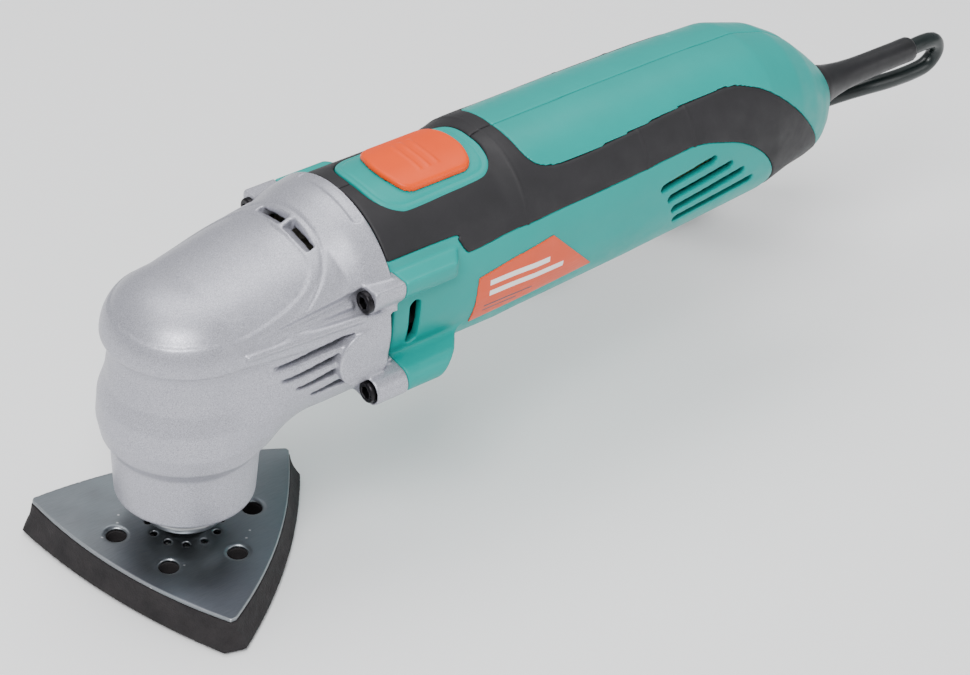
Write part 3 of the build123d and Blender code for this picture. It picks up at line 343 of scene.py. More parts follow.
def printed_label():
    """An orange label with plain white and dark bars in place of any lettering."""
    m = Maker("label_print")
    split = m.node("ShaderNodeSeparateXYZ")
    m.link(m.place, split.inputs[0])

    def inside(socket, low, high):
        above = m.node("ShaderNodeMath", operation="GREATER_THAN")
        m.link(socket, above.inputs[0])
        above.inputs[1].default_value = low * MM
        below = m.node("ShaderNodeMath", operation="LESS_THAN")
        m.link(socket, below.inputs[0])
        below.inputs[1].default_value = high * MM
        both = m.node("ShaderNodeMath", operation="MULTIPLY")
        m.link(above.outputs[0], both.inputs[0])
        m.link(below.outputs[0], both.inputs[1])
        return both.outputs[0]

    def bar(x0, x1, z0, z1):
        both = m.node("ShaderNodeMath", operation="MULTIPLY")
        m.link(inside(split.outputs["X"], x0, x1), both.inputs[0])
        m.link(inside(split.outputs["Z"], z0, z1), both.inputs[1])
        return both.outputs[0]

    tint = m.mixed(m.spread(m.noise(12.0, 3.0), 0.0, 1.0), (0.7, 0.06, 0.002), (0.65, 0.055, 0.002))
    for x0, x1, z0, z1 in ((94.0, 118.0, 83.6, 85.6), (94.0, 124.0, 79.6, 81.6)):
        tint = m.mixed(bar(x0, x1, z0, z1), tint, (0.85, 0.83, 0.8))
    for x0, x1, z0, z1 in ((92.5, 112.0, 75.6, 76.2), (92.5, 106.0, 73.8, 74.4)):
        tint = m.mixed(bar(x0, x1, z0, z1), tint, (0.06, 0.05, 0.06))
    m.colour(tint)
    m.rough(m.spread(m.noise(5.0, 4.0), 0.3, 0.42))
    m.bump(m.noise(0.8, 3.0), 0.01)
    return m.material


TEAL = (0.0, 0.30, 0.27)
TEAL_SHADE = (0.0, 0.28, 0.25)
SILVER = silver_paint()
TEAL_PLASTIC = moulded_plastic("teal_plastic", TEAL, TEAL_SHADE)
GRIP = soft_grip()
ORANGE = moulded_plastic("orange_plastic", (0.85, 0.075, 0.0), (0.8, 0.065, 0.0), 0.4)
LABEL = printed_label()
FOAM = foam()
PLATE = brushed_steel("plate_steel", (0.2, 0.21, 0.225), radians(35), (0.06, 1.0, 1.0))
COLLAR = brushed_steel("collar_steel", (0.3, 0.3, 0.31), 0.0, (1.0, 1.0, 0.05), 0.3)
SCREW = ground_metal("black_screw", (0.035, 0.033, 0.036), 0.34)
STEEL = ground_metal("ground_steel", (0.52, 0.52, 0.53), 0.28)
HARD_STEEL = ground_metal("bearing_steel", (0.62, 0.62, 0.64), 0.18)
CAST = ground_metal("cast_alloy", (0.3, 0.275, 0.225), 0.45, 0.85)
COPPER = banded("copper_wire", (0.3, 0.09, 0.03), (0.85, 0.4, 0.2), 0.5, "X", 0.95, 0.32)
COMMUTATOR = banded("commutator_copper", (0.45, 0.18, 0.09), (0.85, 0.45, 0.26), 2.0, "X")
LAMINATED = banded("laminated_steel", (0.16, 0.15, 0.15), (0.38, 0.37, 0.37), 0.5, "X")
GRAPHITE = rubber("graphite", (0.03, 0.03, 0.032), 0.5)
BRASS = ground_metal("brass", (0.75, 0.55, 0.25), 0.3)
BLACK_PLASTIC = moulded_plastic("black_plastic", (0.02, 0.02, 0.022), (0.03, 0.03, 0.032), 0.45)
FAN_PLASTIC = moulded_plastic("fan_plastic", (0.05, 0.05, 0.055), (0.07, 0.07, 0.075), 0.5)
RUBBER = rubber("guard_rubber", (0.004, 0.0038, 0.0048), 0.42)
CUP_RUBBER = rubber("cup_rubber", (0.02, 0.02, 0.02), 0.7)
FELT = woven("felt", (0.12, 0.11, 0.1), 0.6)
HOOKS = woven("hook_fabric", (0.02, 0.02, 0.022), 0.9)
SHEATH = cord_sheath()
TIE = woven("tie_fabric", (0.012, 0.012, 0.014), 0.7)
WIRE = rubber("lead_insulation", (0.3, 0.03, 0.02), 0.4)
CAPACITOR = moulded_plastic("capacitor_case", (0.75, 0.6, 0.12), (0.68, 0.54, 0.1), 0.35)

CARRIED_OVER = {
    "armature_core": LAMINATED, "armature_windings": COPPER, "bearing_plate": CAST,
    "brush_holders": BRASS, "brush_springs": STEEL, "capacitor": CAPACITOR,
    "carbon_brushes": GRAPHITE, "clamp_screw": SCREW, "clamp_washer": STEEL,
    "commutator": COMMUTATOR, "cooling_fan": FAN_PLASTIC, "cord_clamp": BLACK_PLASTIC,
    "cord_clamp_screws": STEEL, "dust_seal": FELT, "eccentric_bearing": HARD_STEEL,
    "fan_baffle": BLACK_PLASTIC, "field_coils": COPPER, "front_inner_ring": HARD_STEEL,
    "front_outer_ring": HARD_STEEL, "housing_screws": SCREW,
    "inner_cord": SHEATH, "lower_inner_ring": HARD_STEEL, "lower_outer_ring": HARD_STEEL,
    "motor_bearing_balls": HARD_STEEL, "motor_shaft": STEEL, "power_switch": BLACK_PLASTIC,
    "rear_bearing_cup": CUP_RUBBER, "rear_inner_ring": HARD_STEEL,
    "rear_outer_ring": HARD_STEEL, "retaining_ring": STEEL, "spindle": STEEL,
    "spindle_bearing_balls": HARD_STEEL, "stator_core": LAMINATED, "swing_fork": STEEL,
    "switch_rod": BLACK_PLASTIC, "terminal_leads": WIRE, "upper_inner_ring": HARD_STEEL,
    "upper_outer_ring": HARD_STEEL,
}
for node, finish in CARRIED_OVER.items():
    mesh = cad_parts[node].data
    mesh.materials.clear()
    mesh.materials.append(finish)


# ---------------------------------------------------------------- cord
CORD_D = 6.0
GUARD_END = 311.0
GUARD_Z = 82.5
EXIT = (GUARD_END, 0.0, GUARD_Z)
# From the guard round a tight fold, back under it and down behind the tail to the hank.
FREE_ROUTE = [
    EXIT, (318.0, 0.2, 82.8), (325.4, 0.9, 81.2), (328.2, 1.6, 75.8),
    (325.0, 2.2, 70.4), (318.0, 2.5, 69.2), (305.0, 2.6, 69.6), (293.5, 4.8, 69.4),
    (284.0, 10.0, 66.0), (277.6, 18.8, 58.5), (274.8, 29.5, 48.5), (271.5, 40.0, 38.5),
    (265.0, 49.0, 30.0), (255.0, 56.0, 25.0), (244.5, 62.5, 21.5), (236.0, 69.0, 18.0),
]
PLUG_ROUTE = [(186.0, 58.6, 15.0), (172.0, 61.4, 14.4), (158.0, 66.0, 13.0)]
HANK_X, HANK_Y = 225.0, 80.0
LAYERS = (15.0, 9.0, 3.0)
WAIST_LIFT = 1.2
LOOP_CENTRE = 34.0  # from the waist to the middle of an end loop
INNER, OUTER = (20.0, 3.0), (26.0, 9.0)  # radius of a turn and its lane at the waist
EIGHTH_TURN = 0.414  # how far along a tangent, in radii, control points stand for a round loop
# Over the top of the near loops, towards the plug.
OVERPASS = [(219.0, 69.8, 17.6), (207.5, 65.2, 20.0), (196.5, 61.2, 20.2)]


def half_turn(end, radius, lane, side, height, next_height):
    """From the waist out on one side, round one end loop and back to the waist.

    end is 1 for the +X loop and -1 for the -X loop, side is the side of Y that it starts on.
    The height goes over to next_height round the loop.
    """
    tangent = radius * EIGHTH_TURN
    centre = LOOP_CENTRE
    out = [
        (5.0, lane), (15.0, lane + 0.35 * (radius - lane)), (centre - 8.0, radius + 0.2),
        (centre + tangent, radius), (centre + radius, tangent),
    ]
    back = [(x, -y) for x, y in reversed(out)]
    points = []
    for index, (x, y) in enumerate(out + back):
        level = height if index < 4 else next_height if index > 5 else (height + next_height) / 2
        if x < 10.0:
            level += WAIST_LIFT
        points.append((HANK_X + end * x, HANK_Y + side * y, level))
    return points


def hank_points():
    """Inner turns going down and outer turns coming back up, all in one continuous line."""
    turns = [(*INNER, z) for z in LAYERS] + [(*OUTER, z) for z in reversed(LAYERS)]
    points = []
    for index, (radius, lane, height) in enumerate(turns):
        points += half_turn(-1, radius, lane, -1, height, height)
        if index + 1 < len(turns):
            next_radius, next_lane, next_height = turns[index + 1]
            half = half_turn(1, radius, lane, 1, height, next_height)
            landing = half_turn(1, next_radius, next_lane, 1, height, next_height)
            points += half[:5] + landing[5:]
    return points + half_turn(1, *OUTER, 1, LAYERS[0], LAYERS[0])


def make_cord():
    route = FREE_ROUTE + hank_points() + OVERPASS + PLUG_ROUTE
    curve = bpy.data.curves.new("mains_cord", "CURVE")
    curve.dimensions = "3D"
    spline = curve.splines.new("NURBS")
    spline.points.add(len(route) - 1)
    for point, (x, y, z) in zip(spline.points, route):
        point.co = (x * MM, y * MM, z * MM, 1.0)
    spline.order_u = 3
    spline.use_endpoint_u = True
    spline.resolution_u = 8
    curve.bevel_depth = CORD_D / 2 * MM
    curve.bevel_resolution = 5
    curve.use_fill_caps = True
    curve.materials.append(SHEATH)
    cord = bpy.data.objects.new("mains_cord", curve)
    bpy.context.scene.collection.objects.link(cord)
    return cord


cord = make_cord()
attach(cord, "tool_body")
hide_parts("supply_cord", "plug_cord", "cord_hank")


# ---------------------------------------------------------------- distance fields
class Block:
    """A block of space sampled on a cubic grid."""

    def __init__(self, low, high, step):
        self.low = low
        self.step = step
        axes = [np.arange(a, b + step, step, dtype=np.float32) for a, b in zip(low, high)]
        self.shape = tuple(len(axis) for axis in axes)
        self.x = axes[0][:, None, None]
        self.y = axes[1][None, :, None]
        self.z = axes[2][None, None, :]


def join(a, b, k=0.0):
    """Union with a fillet of about k."""
    if np.max(k) == 0.0:
        return np.minimum(a, b)
    h = np.clip(0.5 + 0.5 * (b - a) / k, 0.0, 1.0)
    return b + (a - b) * h - k * h * (1.0 - h)


def meet(a, b, k=0.0):
    """Intersection with an edge rounded by about k."""
    return -join(-a, -b, k)


def cut(a, b, k=0.0):
    """a without b."""
    return -join(-a, b, k)


def union(fields):
    """All of the fields together, with sharp joints."""
    return reduce(np.minimum, fields)


def disc(u, v, radius):
    return np.sqrt(u * u + v * v) - radius


def slab(u, low, high):
    return np.abs(u - 0.5 * (low + high)) - 0.5 * (high - low)


def rod(x, y, z, start, end, r0, r1):
    """A tapered round bar with ball ends between two points."""
    a = np.array(start, np.float32)
    d = np.array(end, np.float32) - a
    px, py, pz = x - a[0], y - a[1], z - a[2]
    t = np.clip((px * d[0] + py * d[1] + pz * d[2]) / float(d @ d), 0.0, 1.0)
    gap = np.sqrt((px - t * d[0]) ** 2 + (py - t * d[1]) ** 2 + (pz - t * d[2]) ** 2)
    return gap - (r0 + (r1 - r0) * t)


def stadium(u, v, a, b, radius):
    """Flat distance to a bar with round ends."""
    du, dv = b[0] - a[0], b[1] - a[1]
    t = np.clip(((u - a[0]) * du + (v - a[1]) * dv) / (du * du + dv * dv), 0.0, 1.0)
    return np.sqrt((u - a[0] - t * du) ** 2 + (v - a[1] - t * dv) ** 2) - radius


def outline(u, v, points):
    """Flat distance to a closed outline, under nought inside."""
    best = None
    inside = None
    for (ax, ay), (bx, by) in zip(points, points[1:] + points[:1]):
        ex, ey = bx - ax, by - ay
        wx, wy = u - ax, v - ay
        t = np.clip((wx * ex + wy * ey) / (ex * ex + ey * ey), 0.0, 1.0)
        gap = (wx - ex * t) ** 2 + (wy - ey * t) ** 2
        crosses = ((v >= ay) != (v >= by)) & ((ex * wy - ey * wx > 0) == (by > ay))
        best = gap if best is None else np.minimum(best, gap)
        inside = crosses if inside is None else inside ^ crosses
    return np.where(inside, -1.0, 1.0).astype(np.float32) * np.sqrt(best)


def smooth_line(points, steps=6, closed=False):
    """A smooth curve through a few points."""
    points = [np.array(p, float) for p in points]
    count = len(points)
    made = []
    spans = count if closed else count - 1
    for i in range(spans):
        p1, p2 = points[i], points[(i + 1) % count]
        p0 = points[i - 1] if closed or i else p1
        p3 = points[(i + 2) % count] if closed or i + 2 < count else p2
        for k in range(steps):
            t = k / steps
            made.append(
                0.5 * (2 * p1 + (p2 - p0) * t + (2 * p0 - 5 * p1 + 4 * p2 - p3) * t**2
                       + (3 * p1 - p0 - 3 * p2 + p3) * t**3)
            )
    if not closed:
        made.append(points[-1])
    return [tuple(float(c) for c in p) for p in made]


def eased(values, places, targets, width):
    """Linear interpolation, smoothed over width."""
    step = 0.25
    fine = np.arange(places[0] - 30, places[-1] + 30, step)
    line = np.interp(fine, places, targets)
    reach = max(1, int(width / step))
    window = np.hanning(2 * reach + 1)
    padded = np.pad(line, reach, mode="edge")
    line = np.convolve(padded, window / window.sum(), mode="valid")
    return np.interp(values, fine, line).astype(np.float32)


def level(block, field):
    """Makes the field rise by one for each millimetre near its skin."""
    dx, dy, dz = np.gradient(field, block.step)
    return field / np.maximum(np.sqrt(dx * dx + dy * dy + dz * dz), 0.3)


def skin(name, block, field, material, flip_y=False):
    """The mesh of a field's skin, as an object."""
    grid = openvdb.FloatGrid(10.0)
    full = np.broadcast_to(field, block.shape).astype(np.float32).copy()
    full[[0, -1], :, :] = np.maximum(full[[0, -1], :, :], 1.0)
    full[:, [0, -1], :] = np.maximum(full[:, [0, -1], :], 1.0)
    full[:, :, [0, -1]] = np.maximum(full[:, :, [0, -1]], 1.0)
    grid.copyFromArray(np.clip(full, -3.0, 3.0))
    points, quads = grid.convertToQuads(0.0)
    points = np.array(points, np.float32) * block.step + np.array(block.low, np.float32)
    quads = np.array(quads, np.int32)
    if flip_y:
        points[:, 1] *= -1.0
    a, b, c = points[quads[:, 0]], points[quads[:, 1]], points[quads[:, 2]]
    volume = float(np.einsum("ij,ij->i", a, np.cross(b, c)).sum())
    if volume < 0:
        quads = quads[:, ::-1]
    mesh = bpy.data.meshes.new(name)
    mesh.vertices.add(len(points))
    mesh.vertices.foreach_set("co", (points * MM).ravel())
    mesh.loops.add(quads.size)
    mesh.loops.foreach_set("vertex_index", np.ascontiguousarray(quads).ravel())
    mesh.polygons.add(len(quads))
    mesh.polygons.foreach_set("loop_start", np.arange(0, quads.size, 4, dtype=np.int32))
    mesh.update(calc_edges=True)
    mesh.validate()
    tidy = bmesh.new()
    tidy.from_mesh(mesh)
    bmesh.ops.remove_doubles(tidy, verts=tidy.verts, dist=0.04 * block.step * MM)
    tidy.to_mesh(mesh)
    tidy.free()
    mesh.shade_smooth()
    mesh.materials.append(material)
    made = bpy.data.objects.new(name, mesh)
    bpy.context.scene.collection.objects.link(made)
    return made


def stands_for(piece, body, slot, *nodes):
    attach(piece, body)
    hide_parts(*nodes)


# ---------------------------------------------------------------- head casting
# From the casting out to the screw, across and up: the upper lug, then the lower one.
LUGS = [((20.0, 97.3), (30.2, 97.0)), ((20.0, 66.5), (33.6, 65.2))]
LUG_R = 4.8
LUG_FRONT = 47.0
LUG_REAR = 57.2


def head_barrel(b):
    """Round form from the dome back to the rim, tipped up towards the motor."""
    places = [-4.0, 18.0, 36.0, 47.0, 55.0]
    radius = eased(b.x, places, [22.0, 29.2, 31.9, 33.8, 34.4], 3.0)
    centre = eased(b.x, places, [75.6, 77.6, 80.7, 83.6, 84.8], 3.0)
    return disc(b.y, b.z - centre, radius)


def head_cap(b):
    """The dome and the back that runs from it over the barrel, above the lip."""
    places = [0.0, 13.0, 22.7, 30.0, 38.0, 46.0]
    half = eased(b.x, places, [26.2, 28.3, 29.6, 30.3, 31.0, 31.6], 3.0)
    rise = eased(b.x, places, [19.3, 21.3, 23.3, 24.4, 25.7, 26.6], 3.0)
    front = np.minimum(b.x, 0.0)
    across = np.sqrt(b.y * b.y + front * front) / half
    upward = np.abs(b.z - 86.0) / rise
    power = 2.32
    return ((across**power + upward**power) ** (1 / power) - 1.0) * np.float32(22.0)


# The sunken panel on the head and the crease behind the band round it, one side each, as
# seen from above.
PANEL_EDGE = [
    (-23.2, 0.0), (-21.4, 9.0), (-16.0, 16.6), (-8.0, 21.4), (2.0, 23.6), (12.0, 24.2),
    (22.0, 23.6), (28.4, 21.6), (32.2, 17.6), (33.5, 11.0), (33.1, 0.0),
]
CREASE = [
    (40.0, 0.0), (39.5, 11.0), (37.2, 18.0), (31.9, 23.2), (24.0, 26.3), (14.0, 27.8), (5.0, 27.6),
]
SLOTS = [
    (8.0, 82.6, 36.3, 86.5), (12.6, 77.9, 35.0, 81.2), (19.0, 73.6, 34.2, 76.0), (24.2, 68.9, 36.3, 70.6),
]


def lug_face(ay, z, grow=0.0):
    """Section of an upper lug: flat on top with a round lower corner."""
    box = meet(slab(ay, 18.0, 34.8), slab(z, 92.3, 101.6), 1.3)
    return meet(box, disc(ay - 28.0, z - 99.1, 6.8), 0.3) - grow


def make_head():
    b = Block((-32.0, -41.0, 24.0), (60.0, 41.0, 122.0), 0.5)
    r = np.sqrt(b.x * b.x + b.y * b.y)
    ay = np.abs(b.y)
    heights = [26, 27.2, 44, 46.0, 47.4, 50.5, 57, 65, 72, 80, 90]
    radii = [21.3, 22.2, 23.2, 23.4, 24.0, 26.2, 27.5, 27.0, 24.8, 23.7, 23.8]
    neck = meet(r - eased(b.z, heights, radii, 1.0), 26.0 - b.z, 2.0)
    neck = meet(neck, b.z - 88.0, 2.0)
    barrel = meet(head_barrel(b), -(b.x + 6.0), 6.0)
    fillet = 1.2 + 10.5 * np.clip((b.x + 2.0) / 16.0, 0.0, 1.0)
    form = level(b, join(neck, barrel, fillet))
    cap = meet(head_cap(b), 86.6 - b.z, 1.4)
    cap = meet(cap, b.x - 40.6, 1.6)
    form = join(form, level(b, cap), 0.9)
    form = meet(form, b.x - 55.0, 0.8)
    # sunken panel, and the crease outside the band round it
    flat_x, flat_y = b.x[:, :, 0], ay[:, :, 0]
    edge = smooth_line(PANEL_EDGE, 4)
    panel = outline(flat_x, flat_y, edge + [(edge[-1][0], -9.0), (edge[0][0], -9.0)])[:, :, None]
    form = form + 0.45 * np.clip(0.5 - panel / 0.9, 0.0, 1.0) * (b.z > 92.0)
    crease = smooth_line(CREASE, 3)
    line = union(stadium(flat_x, flat_y, a, c, 0.0) for a, c in zip(crease, crease[1:]))
    form = form + 0.4 * np.exp(-((line[:, :, None] / 0.6) ** 2)) * (b.z > 92.0)
    # channel in front of each upper screw, with a low rib along its floor, and the rib below
    channel = rod(b.x, ay, b.z, (3.0, 26.1, 94.6), (48.0, 31.4, 97.6), 0.5, 5.0)
    form = cut(form, channel, 0.5)
    rib = rod(b.x, ay, b.z, (12.0, 25.9, 94.0), (41.0, 27.0, 95.4), 0.6, 1.4)
    form = join(form, rib, 1.2)
    rib = rod(b.x, ay, b.z, (4.0, 27.0, 90.8), (43.0, 31.6, 92.6), 0.9, 1.2)
    form = join(form, rib, 1.2)
    # lugs: square ones above, round ones below
    root = meet(slab(ay, 10.0, 28.0), slab(b.z, 92.3, 101.6))
    upper = join(lug_face(ay, b.z), root)
    upper = meet(upper, slab(b.x, LUG_FRONT - 1.6, 57.0), 0.5)
    form = join(form, upper, 0.9)
    lower = stadium(ay, b.z, *LUGS[1], LUG_R)
    lower = meet(lower, slab(b.x, LUG_FRONT - 2.2, 57.0), 0.8)
    form = join(form, lower, 1.0)
    # flat round boss on each side
    boss = meet(disc(b.x - 44.0, b.z - 78.2, 10.2), ay - 33.2, 0.5)
    boss = meet(boss, 20.0 - ay)
    # cooling slots, tapered and shallow towards the front
    slots = []
    for x0, z0, x1, z1 in SLOTS:
        t = np.clip((b.x - x0) / (x1 - x0), 0.0, 1.0)
        middle = z0 + (z1 - z0) * t - 1.2 * np.sin(pi * t) * (1.0 - t)
        slot = np.abs(b.z - middle) - (0.25 + 1.35 * t**0.7)
        slot = meet(slot, slab(b.x, x0, x1 + 4.0))
        floor = 29.6 + 2.2 * t - 12.0 * t**0.8 + 0.09 * (84.0 - b.z)
        slots.append(meet(slot, floor - ay))
    form = cut(form, union(slots), 0.5)
    form = join(form, boss, 0.5)
    # hollow for the works
    tunnel = disc(b.y, b.z - 82.2, eased(b.x, [14, 38, 55], [20.6, 26.8, 30.8], 2.0))
    hole = meet(tunnel, 14.0 - b.x)
    hole = join(hole, meet(disc(b.y, b.z - 84.8, 31.6), 48.6 - b.x))
    hole = join(hole, meet(r - 20.6, slab(b.z, 56.0, 86.0), 1.0))
    hole = join(hole, meet(r - 12.6, slab(b.z, 40.0, 58.0)))
    hole = join(hole, meet(r - 14.0, b.z - 41.0))
    hole = join(hole, meet(r - 15.1, b.z - 31.4))
    hole = join(hole, meet(r - 9.6, slab(b.z, 82.0, 94.6)))
    hole = join(hole, meet(slab(b.z, 82.0, 94.5), disc(b.x - 16.0, b.y, 20.0), 2.0))
    form = cut(form, hole, 0.3)
    # windows in the top: a pocket with a sloping floor and a slit along its rear edge
    across = b.x - (36.45 - 0.075 * (ay - 2.0))
    over_x, over_y = np.maximum(np.abs(across) - 1.35, 0.0), np.maximum(np.abs(ay - 7.0) - 5.5, 0.0)
    inner = np.minimum(np.maximum(np.abs(across) - 1.35, np.abs(ay - 7.0) - 5.5), 0.0)
    pocket = np.hypot(over_x, over_y) + inner - 0.7
    top = 111.4 - 0.0072 * b.y * b.y
    pocket = meet(pocket, top - 0.2 - 0.5 * (across + 2.0) - b.z)
    slit = np.maximum(np.abs(across - 2.9) - 1.7, np.abs(ay - 7.0) - 5.7)
    slit = meet(slit, b.z - top + 0.75)
    slit = meet(slit, 104.0 - b.z)
    form = cut(form, join(pocket, slit), 0.25)
    # screw holes, and a notch in front of each lower screw
    for _, (y1, z1) in LUGS:
        form = cut(form, meet(disc(ay - y1, b.z - z1, 2.1), 40.0 - b.x))
    y1, z1 = LUGS[1][1]
    form = cut(form, meet(disc(ay - y1, b.z - z1, 4.1), slab(b.x, 36.0, LUG_FRONT)), 0.5)
    # the side is open behind the boss
    gap = meet(slab(b.x, 52.4, 60.0), slab(b.z, 73.0, 91.5), 1.0)
    gap = meet(gap, 24.0 - ay)
    form = cut(form, gap, 0.6)
    # shallow groove across the top of the rear band
    groove = stadium(b.x, b.y, (52.6, -13.6), (52.6, 13.6), 1.6)
    form = form + 0.55 * np.clip(0.5 - groove / 0.8, 0.0, 1.0) * (b.z > 100.0)
    made = skin("head_casting", b, form, SILVER)
    stands_for(made, "tool_body", "painted_casting", "gear_head")


# ---------------------------------------------------------------- housing
HOUSING_FRONT = 56.0
TAIL_X = 263.0
# Along X: half width, half height and the height of the middle.
STATIONS = [
    (HOUSING_FRONT, 30.2, 31.4, 85.6), (104.0, 30.2, 31.4, 85.6), (112.0, 30.6, 32.0, 87.0),
    (157.0, 29.9, 31.4, 88.3), (192.0, 29.0, 30.4, 89.4), (219.0, 27.9, 29.3, 89.8),
    (234.0, 24.4, 25.8, 89.0), (244.0, 21.4, 22.8, 86.2), (252.0, 18.0, 19.0, 83.0),
    (258.5, 13.4, 14.2, 81.6), (TAIL_X, 9.0, 9.6, 81.0),
]
GRIP_T = 1.2
WALL = 3.2
# Raised lines across the grip: place along X, and from and to which height.
GRIP_LINES = ((110.0, 96.0, 122.0), (160.0, 96.0, 116.0), (181.0, 90.0, 117.0))
# Air inlets near the tail, each from one end's X and Z to the other's.
INLETS = (
    (167.0, 92.2, 189.0, 95.0), (170.6, 87.0, 197.0, 90.2), (173.0, 82.0, 203.0, 85.6),
    (175.0, 77.0, 208.0, 80.2),
)
INLET_R = 1.5
# Wells of the screws that join the shells, in X and Z, on the far side only.
SCREW_SPOTS = ((144.0, 65.0), (144.0, 106.5), (187.0, 68.0), (181.0, 106.5), (225.0, 73.0))
WELL_R = 3.3


def body_form(b):
    """The housing's outer form."""
    places = [s[0] for s in STATIONS]
    half = eased(b.x, places, [s[1] for s in STATIONS], 2.5)
    high = eased(b.x, places, [s[2] for s in STATIONS], 2.5)
    middle = eased(b.x, places, [s[3] for s in STATIONS], 2.5)
    corner = 0.93 * half
    qy = np.abs(b.y) - (half - corner)
    qz = np.abs(b.z - middle) - (high - corner)
    flat = np.sqrt(np.maximum(qy, 0) ** 2 + np.maximum(qz, 0) ** 2)
    field = flat + np.minimum(np.maximum(qy, qz), 0) - corner
    return level(b, meet(field, b.x - TAIL_X, 2.0))


GRIP_LOW = [
    (50.0, 104.3), (81.0, 104.2), (83.2, 102.6), (85.2, 98.9), (88.0, 98.2), (104.0, 99.4), (119.0, 100.4),
    (150.0, 101.3), (174.0, 102.4), (182.0, 102.4), (190.0, 100.8), (202.0, 96.7), (211.0, 90.5),
    (217.5, 83.0), (221.8, 72.0), (224.0, 50.0),
]
GRIP_HIGH = [
    (262.0, 50.0), (257.0, 60.0), (250.5, 72.0), (241.0, 86.0), (229.0, 99.0), (218.0, 108.0),
    (209.0, 111.9), (200.0, 113.6), (180.0, 113.5), (157.0, 112.5), (140.0, 111.7),
    (128.0, 111.7), (121.5, 112.6), (117.8, 114.8), (116.4, 119.0), (116.2, 126.0),
]


def grip_side(b):
    """Flat distance to the grip's outline as seen from the side."""
    points = smooth_line(GRIP_LOW, 3) + smooth_line(GRIP_HIGH, 3) + [(50.0, 126.0)]
    return outline(b.x[:, 0], b.z[0], points)[:, None, :]


def island_plan(u, v):
    """Flat distance to the switch surround's outline as seen from above."""
    v = np.where(v > 0.0, v * 1.12, v)
    edge = [
        (61.0, 0.0), (61.3, 8.0), (63.4, 13.2), (67.4, 16.3), (72.0, 17.1), (86.0, 16.7),
        (98.0, 16.3), (102.6, 15.2), (105.7, 12.0), (107.0, 6.5), (107.3, 0.0),
    ]
    whole = edge + [(x, -y) for x, y in reversed(edge[1:-1])]
    return outline(u, v, smooth_line(whole, 4, closed=True))


def housing_half(side):
    """One moulded shell and its soft grip. side is -1 for the near one and 1 for the far one."""
    b = Block((54.5, -0.5, 50.0), (265.0, 40.5, 121.5), 0.5)
    outer = body_form(b)
    prism = grip_side(b)
    island = island_plan(b.x[:, :, 0], b.y[:, :, 0])[:, :, None]
    island = meet(island, 95.0 - b.z)
    middle = 0.04 - b.y
    # soft grip
    skin_out = outer - 0.25
    grip = meet(skin_out, prism + 0.02, 0.6)
    grip = cut(grip, outer + GRIP_T)
    grip = meet(grip, HOUSING_FRONT - b.x, 0.6)
    grip = cut(grip, island - 0.12, 0.7)
    grip = meet(grip, middle, 0.35)
    # thin raised lines across the grip
    for place, low, high in GRIP_LINES:
        bent = np.abs(b.x - place - 0.08 * (b.z - 106.0))
        grip = grip - 0.22 * np.exp(-((bent / 0.4) ** 2)) * (b.z > low) * (b.z < high)
    # shell
    root = meet(slab(b.y, 10.0, 28.0), slab(b.z, 92.5, 101.4))
    upper = join(lug_face(b.y, b.z, -0.2), root)
    lower = stadium(b.y, b.z, *LUGS[1], LUG_R - 0.3)
    upper = meet(upper, (b.x - 79.5) * 0.8 + (b.y - 31.0) * 0.6, 1.2)
    lower = meet(lower, (b.x - 77.0) * 0.8 + (b.y - 33.6 + 0.9 * (67.0 - b.z)) * 0.6, 1.2)
    shell = join(outer, meet(upper, LUG_REAR - b.x, 0.6), 1.2)
    shell = join(shell, meet(lower, LUG_REAR - b.x, 0.6), 2.4)
    shell = meet(shell, HOUSING_FRONT - b.x, 0.5)
    shell = cut(shell, outer + WALL)
    shell = cut(shell, meet(prism - 0.02, -(outer + GRIP_T)), 0.3)
    shell = cut(shell, meet(island - 0.1, -(outer + WALL + 1.0)), 0.4)
    # lugs of the casting sit against the shell
    for _, (y1, z1) in LUGS:
        shell = cut(shell, meet(disc(b.y - y1, b.z - z1, LUG_R + 0.3), b.x - LUG_REAR))
        shell = cut(shell, meet(disc(b.y - y1, b.z - z1, 2.0), b.x - 74.0))
    # slot beside the fan, with a rib in front of it
    slot = stadium(b.x, b.z, (64.2, 75.0), (64.6, 87.4), 2.1)
    slot = meet(slot, 22.0 - b.y)
    shell = cut(shell, slot, 0.7)
    mouth = disc(b.y, b.z - 85.6, 27.0)
    shell = cut(shell, meet(mouth, b.x - 90.0))
    # air inlets near the tail
    inlets = union(stadium(b.x, b.z, (x0, z0), (x1, z1), INLET_R) for x0, z0, x1, z1 in INLETS)
    shell = cut(shell, meet(inlets, 15.0 - b.y), 0.7)
    shell = cut(shell, disc(b.y, b.z - GUARD_Z, 8.1))
    shell = meet(shell, middle, 0.35)
    if side > 0:
        for x, z in SCREW_SPOTS:
            well = meet(disc(b.x - x, b.z - z, WELL_R), 16.0 - b.y)
            shell = cut(shell, well, 0.4)
            grip = cut(grip, well, 0.4)
    name = "near" if side < 0 else "far"
    cad = "left" if side < 0 else "right"
    made = skin(f"{name}_shell", b, shell, TEAL_PLASTIC, flip_y=side < 0)
    stands_for(made, "tool_body", "housing_shell", f"{cad}_housing")
    made = skin(f"{name}_soft_grip", b, grip, GRIP, flip_y=side < 0)
    stands_for(made, "tool_body", "soft_grip", f"{cad}_grip")


SLIDER_X = (69.8, 101.6)
SLIDER_HALF = 12.6
SLIDER_RIBS = (81.8, 85.2, 88.7)


